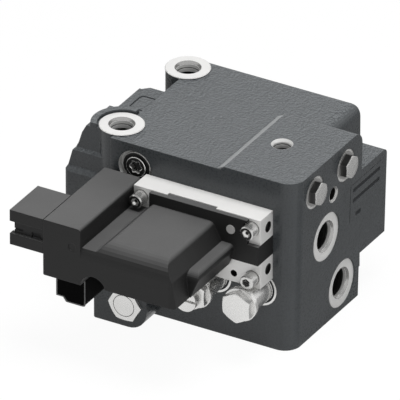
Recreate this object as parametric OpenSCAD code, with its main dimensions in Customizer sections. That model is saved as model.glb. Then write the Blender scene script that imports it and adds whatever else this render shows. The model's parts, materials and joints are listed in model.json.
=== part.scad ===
// Electro-hydraulic steering valve. Cast valve block with a bolted-on actuator on its front face.
// Origin: centre of the mounting hole pattern on the bottom face. +X to the work port face,
// +Y to the rear, +Z up. Millimetres.

/* [Valve body] */
// Length of the casting along X
body_len = 168.5; // [160:0.5:180]
// Depth of the casting along Y
body_w = 116.3; // [112:0.1:124]
// Height of the main deck above the bottom
deck_h = 118.2; // [112:0.1:126]
// Height of the raised pad above the deck
pad_rise = 2.4; // [1:0.1:4]
// Length of the raised pad along X
pad_len = 52; // [46:0.5:60]
// Depth of the raised pad and the main right-hand wall
pad_w = 84; // [80:0.5:88]
// Lean of the right face over the whole height
face_draft = 3; // [0:0.1:5]
// Radius of the front right vertical corner
corner_r = 11; // [4:0.5:14]
// Radius of the rolled top edges
roll_r = 9.5; // [4:0.5:11]
// Length of the rear right notch along X
notch_len = 20; // [14:0.5:22]
// Top of the rear right flange above the bottom
flange_top = 91.6; // [88:0.1:96]
// Underside of the rear right flange above the bottom
flange_bottom = 30.6; // [24:0.1:36]

/* [Mounting] */
// Distance from the right face to the pattern centre
bolt_inset_right = 90; // [86:0.5:94]
// Distance from the front face to the pattern centre
bolt_inset_front = 58; // [55:0.5:61]
// Mounting hole spacing along X
bolt_span_x = 104; // [96:0.5:110]
// Mounting hole spacing along Y
bolt_span_y = 84; // [78:0.5:88]
// Tapping drill of the mounting threads
bolt_hole_d = 8.5; // [6.8:0.1:8.6]
// Depth of the mounting threads
bolt_depth = 16; // [12:0.5:18]

/* [Ports] */
// Tapping drill of the work ports
work_port_d = 18.6; // [17:0.1:19.6]
// Spot face of the work ports
work_face_d = 32.5; // [30:0.1:34]
// Depth of the work port threads
work_port_depth = 15; // [12:0.5:17]
// Tapping drill of the pump and tank ports
supply_port_d = 24.1; // [22:0.1:26]
// Spot face of the pump and tank ports
supply_face_d = 41; // [36:0.5:43]
// Depth of the pump and tank port threads
supply_port_depth = 17; // [14:0.5:20]
// Tapping drill of the two top pilot ports
pilot_port_d = 15.2; // [13:0.1:16]
// Boss diameter of the two top pilot ports
pilot_face_d = 28.6; // [24:0.1:31]
// Distance between the two top pilot ports
pilot_span = 82.6; // [80:0.1:83]
// Tapping drill of the small top port
gauge_port_d = 11.9; // [10:0.1:13]
// Depth of the top port threads
top_port_depth = 12; // [9:0.5:14]

/* [Main spool] */
// Diameter of the main spool
spool_d = 18; // [16:0.1:19]
// Travel to each side
spool_travel = 7; // [4:0.5:7]
// Radial running clearance of all spools
spool_fit = 0.03; // [0.02:0.01:0.06]
// Diameter of the spring chambers
chamber_d = 26; // [25:0.1:28]
// Wire of the centring springs
centring_wire = 1.8; // [1.2:0.1:2]

/* [Cartridges] */
// Thread diameter of the shock valve cartridges
shock_d = 19; // [18:0.1:20]
// Width across flats of their hexagons
shock_af = 19; // [17:0.1:21]
// Collar diameter behind the hexagons
shock_collar_d = 23.8; // [22:0.1:25]
// How far the hexagons stand out of the body
shock_reach = 30; // [28:0.5:32]
// Width across flats of the priority valve plug
priority_af = 20.5; // [19:0.1:22]
// Diameter of the priority spool
priority_d = 16; // [14:0.1:16.5]
// Width across flats of the check valve plugs
check_af = 14; // [12:0.1:15]

/* [Actuator] */
// Length of the aluminium base along X
base_len = 90.9; // [86:0.1:92]
// Height of the aluminium base
base_h = 48.8; // [46:0.1:50]
// Thickness of the aluminium base
base_t = 15.6; // [14:0.1:18]
// Forward reach of the cover from the valve body
cover_reach = 81; // [78:0.5:90]
// Wall of the moulded cover
cover_wall = 2.4; // [1.6:0.1:2.8]
// Diameter of the pilot solenoids
solenoid_d = 10.4; // [9:0.1:10.6]
// Diameter of the position sensor
sensor_d = 11; // [10:0.1:11.6]

/* [Hidden] */
$fn = 48;
eps = 0.01;
// Gap left where a moving piece rests on its stop
stop_gap = 0.05;
arc_steps = 8;

// Colours
iron = "#45484a";
dark_plastic = "#333333";
black_plastic = "#141414";
silver = "#c9c7c2";
steel = "#a9a9a6";
brass = "#c2a14d";
rubber = "#1c1c1c";
board_green = "#1f5a3a";

// Datums of the casting
right_x = bolt_inset_right;
left_x = right_x - body_len;
front_y = -bolt_inset_front;
rear_y = front_y + body_w;
pad_h = deck_h + pad_rise;
rear_wall_x = right_x - notch_len;

// Spool axis, measured from the right face and the bottom
spool_x = right_x - 62;
spool_z = 75.2;
spool_len = body_w - 37.3;
spool_centre_y = front_y + 12 + spool_len / 2;
spool_bore_d = spool_d + 2 * spool_fit;
spool_front_y = spool_centre_y - spool_len / 2;
spool_rear_y = spool_centre_y + spool_len / 2;
gallery_d = spool_bore_d + 9;
gallery_w = 5;
gallery_pitch = 10.9;
tank_offset = 25;
tank_way_d = 5;
// Drillings stop this far from the spool axis, in the ring galleries and short of the bore
way_stop = 8.6;
riser_top = spool_z - 10.2;
stem_d = 9;
stem_len = 10;
rear_stem_len = 5;
centring_len = spool_travel + 13;
chamber_front = centring_len - (spool_front_y - front_y);
spigot_y = spool_rear_y + centring_len;
rod_d = 4;

// Work ports on the right face: distance from the front and height
port_r = [40.6, 64.6];
port_l = [62.4, 19.8];
port_drill_d = 14;
spot_depth = 0.8;
port_chamfer = 1.4;

// Pump and tank ports on the left face
pump_y = spool_centre_y;
pump_z = 64;
tank_y = spool_centre_y + tank_offset + 2.5;
tank_z = 24;
supply_drill_d = 15;
tank_riser_d = 12;

// Top ports
pilot_x = right_x - 135.3;
pilot_near_y = front_y + 17.3;
pilot_far_y = pilot_near_y + pilot_span;
boss_rise = 1;
pilot_drill_d = 9;
gauge_x = right_x - 34.7;
gauge_y = front_y + 43.1;
gauge_drill_d = 7;
top_drill_depth = 28;

// Check valves on the right face: distance from the front and height
check_front_y = front_y + 23.9;
check_rear_y = front_y + 63;
check_z = deck_h - 12.9;
check_bore_d = 12;
check_seat_d = 6;
check_ball_d = 9;
check_depth = 30;
check_thread_len = 10;
check_face_d = 21.3;
check_head_h = 5;
side_hole = [48.4, 91.6];
side_hole_d = 8.5;
side_hole_depth = 16;
panel_y = [70, 109];
panel_z = [59.2, 86.3];

// Shock valves, low on the front face
shock_right_x = right_x - 26.3;
shock_left_x = right_x - 58.7;
shock_z = 41.2;
shock_bore_d = shock_d + 0.06;
shock_depth = 34;
shock_hex_h = 5.5;
shock_collar_h = 3.5;
shock_washer_t = 1.5;
shock_washer_d = shock_collar_d + 1;
shock_inner_d = 12;
shock_poppet_len = 12;
shock_seat_d = 8;
adjuster_d = 15.75;
adjuster_h = 7;
adjuster_stem_d = 8;
adjuster_slot = 1.6;

// Priority valve in the boss at the lower left of the front face
priority_boss = [right_x - 132.9, right_x - 95];
priority_boss_h = 33;
priority_boss_reach = 22;
priority_boss_r = 13;
priority_x = right_x - 109.9;
priority_z = 16;
priority_bore_d = priority_d + 2 * spool_fit;
priority_thread_d = 18;
priority_thread_len = 13;
priority_spool_len = 44;
priority_spring_len = 20;
priority_head_h = 2.6;
priority_face_y = front_y - priority_boss_reach;
priority_depth = priority_thread_len + priority_spring_len + priority_spool_len + stop_gap;

// Pressure reducing valve, high on the front face at the left
reducer_x = right_x - 115.8;
reducer_z = deck_h - 16.6;
reducer_counter_d = 23.7;
reducer_counter_depth = 4;
reducer_bore_d = 14;
reducer_thread_len = 8;
reducer_spring_len = 11;
reducer_spool_len = 22;
reducer_depth = reducer_counter_depth + reducer_thread_len + reducer_spring_len + reducer_spool_len
    + stop_gap;

// Rear cap
cap_size = 46;
cap_t = 12;
cap_screw_span = 34;
cap_screw_d = 6;

// Actuator base: bars at top and bottom, joined left of the slot
base_right_x = right_x - 16.6;
base_left_x = base_right_x - base_len;
base_top_z = 99.6;
base_bottom_z = base_top_z - base_h;
base_front_y = front_y - base_t;
base_slot_z = [68.6, 82];
base_slot_len = 28.4;
base_notch_x = [spool_x - 21.4, spool_x + 13.6];
base_notch = 2.4;
screw_x = [base_left_x + 5.4, base_right_x - 5.8];
screw_z = [57.5, 92.7];
screw_head_d = 9.4;
screw_head_h = 9;
screw_seat = base_t - 1;
screw_reach = 12;
screw_d = 6;
end_hole_d = 7.4;
end_hole_z = [60.5, 90.7];

// Actuator cover, from the left: connector arm, valley, hump, ledge
cover_front_y = front_y - cover_reach;
arm_x = [base_left_x - 27.2, base_left_x - 0.3];
arm_z = [60, 99.6];
arm_back_y = front_y - 5.7;
hump_x = [spool_x - 30, spool_x + 13];
hump_top_z = 91.6;
hump_bottom_z = 61.5;
hump_roll = 12;
valley_z = 86;
arch_r = 9;
ledge_z = 79.6;
ledge_x = spool_x + 30;
ledge_front_y = cover_front_y + 17.5;
flange_t = 3;
flange_x = 8;
post_d = 5;
post_h = 2;
rivet_x = right_x - 36;
rivet_z = 89.9;
rivet_d = 6;

// Connector headers on the arm
header_w = 34.5;
upper_len = 24;
upper_h = 24.6;
upper_x = arm_x[0] - upper_len;
upper_y = cover_front_y;
upper_z = arm_z[1] - upper_h;
header_wall = 2;
mouth_depth = 19;
slab_h = 7.9;
latch_inset = 2.2;
lower_x = [arm_x[1] - 21.2, arm_x[1]];
lower_y = cover_front_y + 6;
lower_z = arm_z[0] - 19;
lower_rim = 5;
pin_d = 1.4;
pin_pitch_y = 4.1;
pin_rows = 2;
pin_cols = 6;
pin_pitch_z = 5;

// Parts inside the cover
solenoid_x = [spool_x - 21.5, spool_x - 10.7];
solenoid_z = [69.8, 81.2];
solenoid_len = 40;
solenoid_nose_d = 7;
solenoid_nose_len = 6;
plunger_d = 4;
plunger_len = 16;
plunger_travel = 0.8;
sensor_len = 40;
sensor_core_d = 6.4;
sensor_core_len = 18;
board_t = 1.6;
board_y = cover_front_y + cover_wall + post_h;

// Outline helpers. A corner is written [x, y, radius].
function unit(v) = v / norm(v);
function corner_xy(c) = [c[0], c[1]];
function turn(a, b) = (b - a + 540) % 360 - 180;
function heading(v) = atan2(v[1], v[0]);
function rounded_corner(a, b, c, r) =
    let (
        u = unit(a - b),
        w = unit(c - b),
        half = acos(u * w) / 2,
        centre = b + unit(u + w) * r / sin(half),
        from = heading(b + u * r / tan(half) - centre),
        to = heading(b + w * r / tan(half) - centre)
    )
    [for (i = [0 : arc_steps]) centre + r * [cos(from + turn(from, to) * i / arc_steps),
        sin(from + turn(from, to) * i / arc_steps)]];
function rounded(corners) =
    let (n = len(corners))
    [for (i = [0 : n - 1])
        each corners[i][2] == 0 ? [corner_xy(corners[i])] : rounded_corner(
            corner_xy(corners[(i + n - 1) % n]), corner_xy(corners[i]), corner_xy(corners[(i + 1) % n]),
            corners[i][2])];

// Extrudes a YZ outline along +X from x
module along_x(x, length) {
    translate([x, 0, 0])
        rotate([90, 0, 90])
            linear_extrude(length)
                children();
}

// Extrudes an XZ outline along +Y from y
module along_y(y, length) {
    translate([0, y + length, 0])
        rotate([90, 0, 0])
            linear_extrude(length)
                children();
}

// Cylinder along +X from the given point
module rod_x(p, d, length) {
    translate(p)
        rotate([0, 90, 0])
            cylinder(d = d, h = length);
}

// Cylinder along +Y from the given point
module rod_y(p, d, length) {
    translate(p)
        rotate([-90, 0, 0])
            cylinder(d = d, h = length);
}

// Cone or cylinder along +Y from the given point
module cone_y(p, d1, d2, length) {
    translate(p)
        rotate([-90, 0, 0])
            cylinder(d1 = d1, d2 = d2, h = length);
}

// Hexagon along +Y with its corners up and down
module hex_y(p, af, length) {
    translate(p)
        rotate([-90, 30, 0])
            cylinder(d = af / cos(30), h = length, $fn = 6);
}

// Axis-aligned box between two corners
module block(low, high) {
    translate(low)
        cube(high - low);
}

// Flat ring along +Y
module ring_y(p, outer_d, inner_d, length) {
    difference() {
        rod_y(p, outer_d, length);
        rod_y(p - [0, 1, 0], inner_d, length + 2);
    }
}

// Round-section ring whose axis is Z
module torus(d, section) {
    rotate_extrude()
        translate([d / 2, 0])
            circle(d = section, $fn = 16);
}

// Helical compression spring along +Y: one closed tube swept along a coil
spring_sides = 6;
spring_turn_steps = 12;
function coil_point(mean_r, length, wire, turns, t) =
    [mean_r * cos(360 * turns * t), wire / 2 + (length - wire) * t, mean_r * sin(360 * turns * t)];
function coil_ring(mean_r, length, wire, turns, t) =
    let (
        p = coil_point(mean_r, length, wire, turns, t),
        out = [cos(360 * turns * t), 0, sin(360 * turns * t)]
    )
    [for (s = [0 : spring_sides - 1])
        p + wire / 2 * (out * cos(360 * s / spring_sides) + [0, sin(360 * s / spring_sides), 0])];
module spring_y(p, outer_d, wire, length, turns) {
    steps = turns * spring_turn_steps;
    rings = [for (i = [0 : steps])
        each coil_ring((outer_d - wire) / 2, length, wire, turns, i / steps)];
    last = steps * spring_sides;
    walls = [for (i = [0 : steps - 1], s = [0 : spring_sides - 1])
        each let (
            a = i * spring_sides + s,
            b = i * spring_sides + (s + 1) % spring_sides,
            c = a + spring_sides,
            d = b + spring_sides
        )
        [[a, b, d], [a, d, c]]];
    ends = [[for (s = [spring_sides - 1 : -1 : 0]) s], [for (s = [0 : spring_sides - 1]) last + s]];
    translate(p)
        polyhedron(points = rings, faces = concat(walls, ends), convexity = 8);
}

// Socket cap screw along +Y: head in front of p, shank behind it
module cap_screw_y(p, head_d, head_h, shank_d, shank_len, socket_af) {
    difference() {
        union() {
            rod_y(p - [0, head_h, 0], head_d, head_h);
            rod_y(p - [0, eps, 0], shank_d, shank_len + eps);
        }
        hex_y(p - [0, head_h + eps, 0], socket_af, head_h * 0.6);
    }
}

// Casting: right-hand block under the raised pad. Its outline leans with the right face.
module pad_block() {
    strip = 2.5;
    lean = atan(face_draft / pad_h);
    side_x = right_x + 0.05;
    intersection() {
        translate([right_x, 0, pad_h])
            rotate([0, lean, 0])
                translate([-right_x, 0, -pad_h - 3])
                    linear_extrude(pad_h + 6)
                        polygon(rounded([[right_x - pad_len - 6, front_y, 0], [side_x, front_y, corner_r],
                            [side_x, front_y + pad_w + 1, 0],
                            [right_x - pad_len - 6, front_y + pad_w + 1, 0]]));
        along_y(front_y, pad_w)
            polygon([[right_x - pad_len - strip, 0], [right_x - face_draft, 0], [right_x, pad_h],
                [right_x - pad_len, pad_h], [right_x - pad_len - strip, deck_h]]);
        along_x(right_x - pad_len - strip, pad_len + strip)
            polygon(rounded([[front_y, 0, 0], [front_y + pad_w, 0, 0], [front_y + pad_w, pad_h, roll_r],
                [front_y, pad_h, 0]]));
    }
}

// Casting: middle block under the main deck, with a round column under each pilot port
lobe_x = pilot_x - 19.7;
waist_x = pilot_x + 1.8;
label_top_z = deck_h - 7.2;
label_rear_y = pilot_far_y - 21.9;
module deck_block() {
    intersection() {
        along_y(front_y, body_w)
            polygon(rounded([[waist_x, 0, 0], [rear_wall_x, 0, 0], [rear_wall_x, deck_h, roll_r],
                [waist_x, deck_h, 0]]));
        along_x(waist_x, rear_wall_x - waist_x)
            polygon(rounded([[front_y, 0, 0], [rear_y, 0, 0], [rear_y, deck_h, roll_r / 2],
                [front_y, deck_h, 0]]));
    }
    for (y = [pilot_near_y, pilot_far_y])
        translate([pilot_x, y, 0])
            cylinder(d = pilot_face_d, h = deck_h);
}

// Casting: raised crescent behind and left of the near pilot port, clear of its boss
module pilot_crescent() {
    gap_r = pilot_face_d / 2 + 1.2;
    difference() {
        intersection() {
            translate([pilot_x, pilot_near_y, label_top_z - 8])
                cylinder(r = pilot_x - lobe_x, h = pad_h - label_top_z + 8);
            block([lobe_x, front_y + 7, 0], [pilot_x + 1, pilot_near_y + 20, pad_h]);
        }
        translate([pilot_x, pilot_near_y, deck_h])
            cylinder(r = gap_r, h = pad_rise + 1);
    }
}

// Casting: stepped left end. Each tier stands out past the one above it.
tier_z = deck_h - 34.2;
module end_tiers() {
    inner_x = waist_x + 1;
    lower_top_z = tier_z + 3.2;
    middle_z = tier_z + 14.5;
    intersection() {
        along_y(front_y, body_w)
            polygon([[inner_x, 0], [left_x, 0], [left_x, tier_z], [left_x + 1.5, lower_top_z],
                [inner_x, lower_top_z]]);
        along_x(left_x, inner_x - left_x)
            polygon([[front_y + 2, 0], [rear_y - 2, 0], [rear_y - 2, tier_z], [rear_y - 5, tier_z + 3.5],
                [front_y + 5, tier_z + 3.5], [front_y + 2, tier_z]]);
        linear_extrude(deck_h)
            polygon(rounded([[left_x, front_y + 2, 3], [inner_x, front_y + 2, 0], [inner_x, rear_y - 2, 0],
                [left_x, rear_y - 2, 3]]));
    }
    intersection() {
        along_y(front_y, label_rear_y - front_y)
            polygon([[inner_x, tier_z], [left_x + 0.5, tier_z], [left_x + 1.5, lower_top_z],
                [left_x + 4.6, middle_z], [left_x + 6, middle_z + 1.5], [lobe_x - 0.5, label_top_z],
                [inner_x, label_top_z]]);
        along_x(left_x, inner_x - left_x)
            polygon([[label_rear_y, tier_z], [label_rear_y, label_top_z], [front_y + 7, label_top_z],
                [front_y + 7, middle_z + 2], [front_y + 5, middle_z], [front_y + 5, tier_z]]);
        linear_extrude(deck_h)
            polygon([[left_x, front_y], [inner_x, front_y], [inner_x, label_rear_y],
                [lobe_x + 5, label_rear_y], [lobe_x + 1, label_rear_y - 4], [left_x, label_rear_y - 4]]);
    }
    along_y(front_y + 7, 29)
        polygon([[pilot_x - 8, tier_z], [left_x + 4.6, tier_z], [left_x + 4.6, middle_z],
            [left_x + 6, middle_z + 1.5], [left_x + 8, middle_z + 5.5], [left_x + 10.4, middle_z + 13.3],
            [left_x + 13.5, deck_h - 0.7], [pilot_x - 8, deck_h - 0.7]]);
}

// Groove of the rounded frame on the label block, left of the deck
module label_frame() {
    low = [pilot_x - 14.7, pilot_near_y + 32.3];
    high = [waist_x - 2, pilot_near_y + 49.9];
    line_w = 1.1;
    translate([0, 0, label_top_z - 0.9])
        difference() {
            linear_extrude(2)
                polygon(rounded([[low[0], low[1], 3], [high[0], low[1], 3], [high[0], high[1], 3],
                    [low[0], high[1], 3]]));
            translate([0, 0, -1])
                linear_extrude(4)
                    polygon(rounded([[low[0] + line_w, low[1] + line_w, 2.2],
                        [high[0] - line_w, low[1] + line_w, 2.2], [high[0] - line_w, high[1] - line_w, 2.2],
                        [low[0] + line_w, high[1] - line_w, 2.2]]));
        }
}

// Casting: flange at the rear right, open above and below
module rear_flange() {
    inner_x = rear_wall_x - 4;
    inner_y = front_y + pad_w - 6;
    intersection() {
        block([inner_x, inner_y, flange_bottom], [right_x, rear_y, flange_top]);
        along_y(inner_y, rear_y - inner_y)
            polygon([[inner_x, 0], [right_x - face_draft, 0], [right_x, pad_h], [inner_x, pad_h]]);
        along_x(inner_x, right_x - inner_x)
            polygon(rounded([[inner_y, 0, 0], [rear_y, 0, 0], [rear_y, flange_top, 4],
                [inner_y, flange_top, 0]]));
    }
}

// Casting: boss of the priority valve
module priority_boss_block() {
    along_y(priority_face_y, priority_boss_reach + 4)
        polygon(rounded([[priority_boss[0], 0, 1], [priority_boss[1], 0, priority_boss_r],
            [priority_boss[1], priority_boss_h, 6], [priority_boss[0], priority_boss_h, 3]]));
}

// Right face at a height, on its drafted plane
function face_x(z) = right_x - face_draft * (pad_h - z) / pad_h;

// Shallow strip cut into the drafted right face: distances from the front, then heights
module face_strip(y0, y1, z0, z1, depth) {
    intersection() {
        block([right_x - face_draft - 5, front_y + y0, z0], [right_x + 1, front_y + y1, z1]);
        along_y(front_y + y0, y1 - y0)
            polygon([[right_x - face_draft - depth, 0], [right_x + 1, 0], [right_x + 1, pad_h],
                [right_x - depth, pad_h]]);
    }
}

// Bare label panel on the right face: a thin frame line and three sunk bars
module label_panel() {
    line_w = 0.5;
    line_depth = 0.4;
    bar_h = 3;
    face_strip(panel_y[0], panel_y[0] + line_w, panel_z[0], panel_z[1], line_depth);
    face_strip(panel_y[0], panel_y[1], panel_z[1] - line_w, panel_z[1], line_depth);
    for (z = [panel_z[0] + 20.3, panel_z[0] + 12.9])
        face_strip(panel_y[0] + 3.5, panel_y[1] - 1.5, z, z + bar_h, line_depth);
    face_strip(panel_y[0] + 7.5, panel_y[0] + 14, panel_z[0] + 1.8, panel_z[0] + 1.8 + bar_h, line_depth);
}

// Threaded port along -X from the right face, with its spot face and mouth chamfer
module side_port(p, face_d, thread_d, depth) {
    mouth = face_x(p[1]) - spot_depth;
    centre = [mouth, front_y + p[0], p[1]];
    rod_x(centre, face_d, 6);
    translate(centre + [eps, 0, 0])
        rotate([0, -90, 0])
            cylinder(d1 = thread_d + 2 * port_chamfer, d2 = thread_d, h = port_chamfer);
    rod_x(centre - [depth, 0, 0], thread_d, depth + 1);
}

// Tapped hole in the right face, with its countersink
module tapped_side_hole() {
    mouth = [face_x(side_hole[1]), front_y + side_hole[0], side_hole[1]];
    rod_x(mouth - [side_hole_depth, 0, 0], side_hole_d, side_hole_depth + 1);
    translate(mouth + [0.2, 0, 0])
        rotate([0, -90, 0])
            cylinder(d1 = side_hole_d + 2.4, d2 = side_hole_d, h = 1.2);
}

// Threaded port along -Z from a top face, with a narrower drilling below it
module top_port(p, thread_d, drill_d) {
    mouth_d = thread_d + 2.2;
    translate(p - [0, 0, top_port_depth])
        cylinder(d = thread_d, h = top_port_depth + 1);
    translate(p - [0, 0, 2])
        cylinder(d1 = thread_d, d2 = mouth_d, h = 2 + eps);
    translate(p - [0, 0, top_drill_depth])
        cylinder(d = drill_d, h = top_drill_depth);
}

// Threaded port along +X from the left face
module supply_port(y, z, drill_end_x) {
    rod_x([left_x - 1, y, z], supply_face_d, 1 + spot_depth);
    rod_x([left_x - 1, y, z], supply_port_d, 1 + spot_depth + supply_port_depth);
    translate([left_x + spot_depth - eps, y, z])
        rotate([0, 90, 0])
            cylinder(d1 = supply_port_d + 2 * port_chamfer, d2 = supply_port_d, h = port_chamfer);
    rod_x([left_x, y, z], supply_drill_d, drill_end_x - left_x);
}

// Spool bore with its spring chambers and ring galleries
module spool_bore() {
    rod_y([spool_x, front_y - 1, spool_z], spool_bore_d, body_w + 2);
    rod_y([spool_x, front_y - 1, spool_z], chamber_d, spool_front_y - front_y + 1);
    rod_y([spool_x, spool_rear_y, spool_z], chamber_d, rear_y - spool_rear_y + 1);
    for (i = [-1 : 1])
        rod_y([spool_x, spool_centre_y + i * gallery_pitch - gallery_w / 2, spool_z], gallery_d, gallery_w);
    for (side = [-1, 1])
        rod_y([spool_x, spool_centre_y + side * tank_offset - gallery_w / 2, spool_z], gallery_d + 5,
            gallery_w);
}

// Drillings that join the ports to the spool
module oil_ways() {
    drill_end_x = right_x - 10;
    rod_x([spool_x + way_stop, front_y + port_r[0], port_r[1]], port_drill_d,
        drill_end_x - spool_x - way_stop);
    rod_x([spool_x, front_y + port_l[0], port_l[1]], port_drill_d, drill_end_x - spool_x);
    translate([spool_x, front_y + port_l[0], port_l[1]])
        cylinder(d = 10, h = riser_top - port_l[1]);
    translate([spool_x, tank_y, tank_z])
        cylinder(d = tank_riser_d, h = riser_top - tank_z);
    rod_y([spool_x, spool_centre_y - tank_offset, spool_z + gallery_d / 2 + tank_way_d / 2 + 0.7],
        tank_way_d, 2 * tank_offset);
    rod_y([shock_right_x, front_y + shock_depth, shock_z], shock_seat_d, 9);
    translate([shock_right_x, front_y + shock_depth + 5, shock_z])
        cylinder(d = 7, h = port_r[1] - shock_z);
    rod_y([shock_left_x, front_y + shock_depth, shock_z], shock_seat_d, port_l[0] - shock_depth);
    translate([priority_x, pump_y, priority_z])
        cylinder(d = 9, h = pump_z - priority_z);
}

module valve_body() {
    color(iron)
        difference() {
            union() {
                pad_block();
                deck_block();
                end_tiers();
                pilot_crescent();
                rear_flange();
                priority_boss_block();
                for (y = [pilot_near_y, pilot_far_y])
                    translate([pilot_x, y, deck_h - 4])
                        cylinder(d = pilot_face_d, h = 4 + boss_rise);
            }
            spool_bore();
            oil_ways();
            side_port(port_r, work_face_d, work_port_d, work_port_depth);
            side_port(port_l, work_face_d, work_port_d, work_port_depth);
            supply_port(pump_y, pump_z, spool_x - way_stop);
            supply_port(tank_y, tank_z, spool_x);
            for (y = [pilot_near_y, pilot_far_y])
                top_port([pilot_x, y, deck_h + boss_rise], pilot_port_d, pilot_drill_d);
            top_port([gauge_x, gauge_y, pad_h], gauge_port_d, gauge_drill_d);
            for (y = [check_front_y, check_rear_y]) {
                rod_x([check_mouth_x, y, check_z], check_face_d, 6);
                rod_x([check_mouth_x - check_depth, y, check_z], check_bore_d, check_depth + 1);
                rod_x([check_mouth_x - check_depth - 8, y, check_z], check_seat_d, 9);
            }
            tapped_side_hole();
            label_panel();
            label_frame();
            for (x = [shock_right_x, shock_left_x]) {
                rod_y([x, front_y - 1, shock_z], shock_bore_d, shock_depth + 1);
                rod_y([x, front_y - 1, shock_z], shock_washer_d, shock_washer_t + 1);
            }
            rod_y([priority_x, priority_face_y - 1, priority_z], priority_thread_d, priority_thread_len + 1);
            rod_y([priority_x, priority_face_y, priority_z], priority_bore_d, priority_depth);
            rod_y([reducer_x, front_y - 1, reducer_z], reducer_counter_d, reducer_counter_depth + 1);
            rod_y([reducer_x, front_y, reducer_z], reducer_bore_d, reducer_depth);
            for (x = screw_x, z = screw_z)
                rod_y([x, front_y - 1, z], screw_d, 15);
            for (dx = [-1, 1], dz = [-1, 1])
                rod_y([spool_x + dx * cap_screw_span / 2, rear_y - 14, spool_z + dz * cap_screw_span / 2],
                    cap_screw_d, 15);
            for (x = [-1, 1], y = [-1, 1])
                translate([x * bolt_span_x / 2, y * bolt_span_y / 2, -1])
                    cylinder(d = bolt_hole_d, h = bolt_depth + 1);
        }
}

// Rear cap with its spigot in the rear spring chamber
module rear_cap() {
    groove_y = rear_y - 3.5;
    color(iron)
        difference() {
            union() {
                along_y(rear_y, cap_t)
                    polygon(rounded([for (c = [[-1, -1], [1, -1], [1, 1], [-1, 1]])
                        [spool_x + c[0] * cap_size / 2, spool_z + c[1] * cap_size / 2, 6]]));
                rod_y([spool_x, spigot_y, spool_z], chamber_d - 0.1, rear_y - spigot_y + eps);
            }
            ring_y([spool_x, groove_y, spool_z], chamber_d + 2, chamber_d - 4.4, 2.2);
            for (dx = [-1, 1], dz = [-1, 1])
                rod_y([spool_x + dx * cap_screw_span / 2, rear_y - 1, spool_z + dz * cap_screw_span / 2],
                    cap_screw_d + 0.6, cap_t + 2);
        }
}

module rear_cap_seal() {
    color(rubber)
        translate([spool_x, rear_y - 2.4, spool_z])
            rotate([90, 0, 0])
                torus(chamber_d - 2.3, 2);
}

module rear_cap_screws() {
    color(steel)
        for (dx = [-1, 1], dz = [-1, 1])
            translate([spool_x + dx * cap_screw_span / 2, rear_y + cap_t, spool_z + dz * cap_screw_span / 2])
                rotate([0, 0, 180])
                    cap_screw_y([0, 0, 0], 10, 6, cap_screw_d - 0.2, cap_t + 12, 5);
}

// Main spool: lands and waists turned about the spool axis
module main_spool() {
    waist_d = spool_d - 7;
    waist_len = gallery_pitch - 1;
    color(steel)
        difference() {
            union() {
                rod_y([spool_x, spool_front_y, spool_z], spool_d, spool_len);
                rod_y([spool_x, spool_front_y - stem_len, spool_z], stem_d, stem_len + eps);
                rod_y([spool_x, spool_rear_y - eps, spool_z], stem_d, rear_stem_len);
            }
            for (side = [-1, 1])
                ring_y([spool_x, spool_centre_y + side * 18 - waist_len / 2, spool_z], spool_d + 2, waist_d,
                    waist_len);
            ring_y([spool_x, spool_centre_y - 3, spool_z], spool_d + 2, waist_d, 6);
            rod_y([spool_x, spool_front_y - stem_len - 1, spool_z], rod_d, 7);
        }
}

module spool_spring_front() {
    color(steel)
        spring_y([spool_x, front_y - chamber_front, spool_z], spool_d - 0.6, centring_wire, centring_len, 6);
}

module spool_spring_rear() {
    color(steel)
        spring_y([spool_x, spool_rear_y, spool_z], spool_d - 0.6, centring_wire, centring_len, 6);
}

// Sensor rod screwed into the spool, with its magnetic core
sensor_core_y = base_front_y - 8 - sensor_core_len;
module sensor_rod() {
    color(silver) {
        rod_y([spool_x, sensor_core_y, spool_z], sensor_core_d, sensor_core_len);
        rod_y([spool_x, sensor_core_y + sensor_core_len - eps, spool_z], rod_d - 0.04,
            spool_front_y - stem_len + 5 - sensor_core_y - sensor_core_len);
    }
}

// Shock valve cartridge; end_gap is the depth of solid metal left at the hexagon end
module shock_cartridge(x, through) {
    hex_y0 = front_y - shock_reach;
    collar_y = hex_y0 + shock_hex_h;
    cavity_y = collar_y + 1;
    inner_y = front_y + shock_depth;
    difference() {
        union() {
            hex_y([x, hex_y0, shock_z], shock_af, shock_hex_h + eps);
            rod_y([x, collar_y, shock_z], shock_collar_d - 0.8, shock_collar_h);
            rod_y([x, collar_y, shock_z], shock_d, inner_y - collar_y);
        }
        rod_y([x, cavity_y, shock_z], shock_inner_d, inner_y - 3 - cavity_y);
        rod_y([x, cavity_y, shock_z], shock_seat_d, inner_y - cavity_y + 1);
        if (through)
            rod_y([x, hex_y0 - 1, shock_z], adjuster_stem_d + 0.1, shock_hex_h + 3);
    }
}

// Poppet of a shock valve, closed on its seat
module shock_poppet(x) {
    inner_y = front_y + shock_depth - 3;
    rod_y([x, inner_y - shock_poppet_len, shock_z], shock_inner_d - 0.06,
        shock_poppet_len - 2 - stop_gap + eps);
    cone_y([x, inner_y - 2 - stop_gap, shock_z], shock_inner_d - 0.06, shock_seat_d + 1, 2);
}

shock_spring_end = front_y + shock_depth - 3 - shock_poppet_len;
shock_spring_start = front_y - shock_reach + shock_hex_h + 1;
module shock_spring(x, start_y) {
    spring_y([x, start_y, shock_z], shock_inner_d - 1.6, 1.5, shock_spring_end - start_y, 9);
}

module shock_cartridge_right() {
    color(silver)
        shock_cartridge(shock_right_x, false);
}

module shock_cartridge_left() {
    color(silver)
        shock_cartridge(shock_left_x, true);
}

module shock_poppet_right() {
    color(steel)
        shock_poppet(shock_right_x);
}

module shock_poppet_left() {
    color(steel)
        shock_poppet(shock_left_x);
}

module shock_spring_right() {
    color(steel)
        shock_spring(shock_right_x, shock_spring_start);
}

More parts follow.
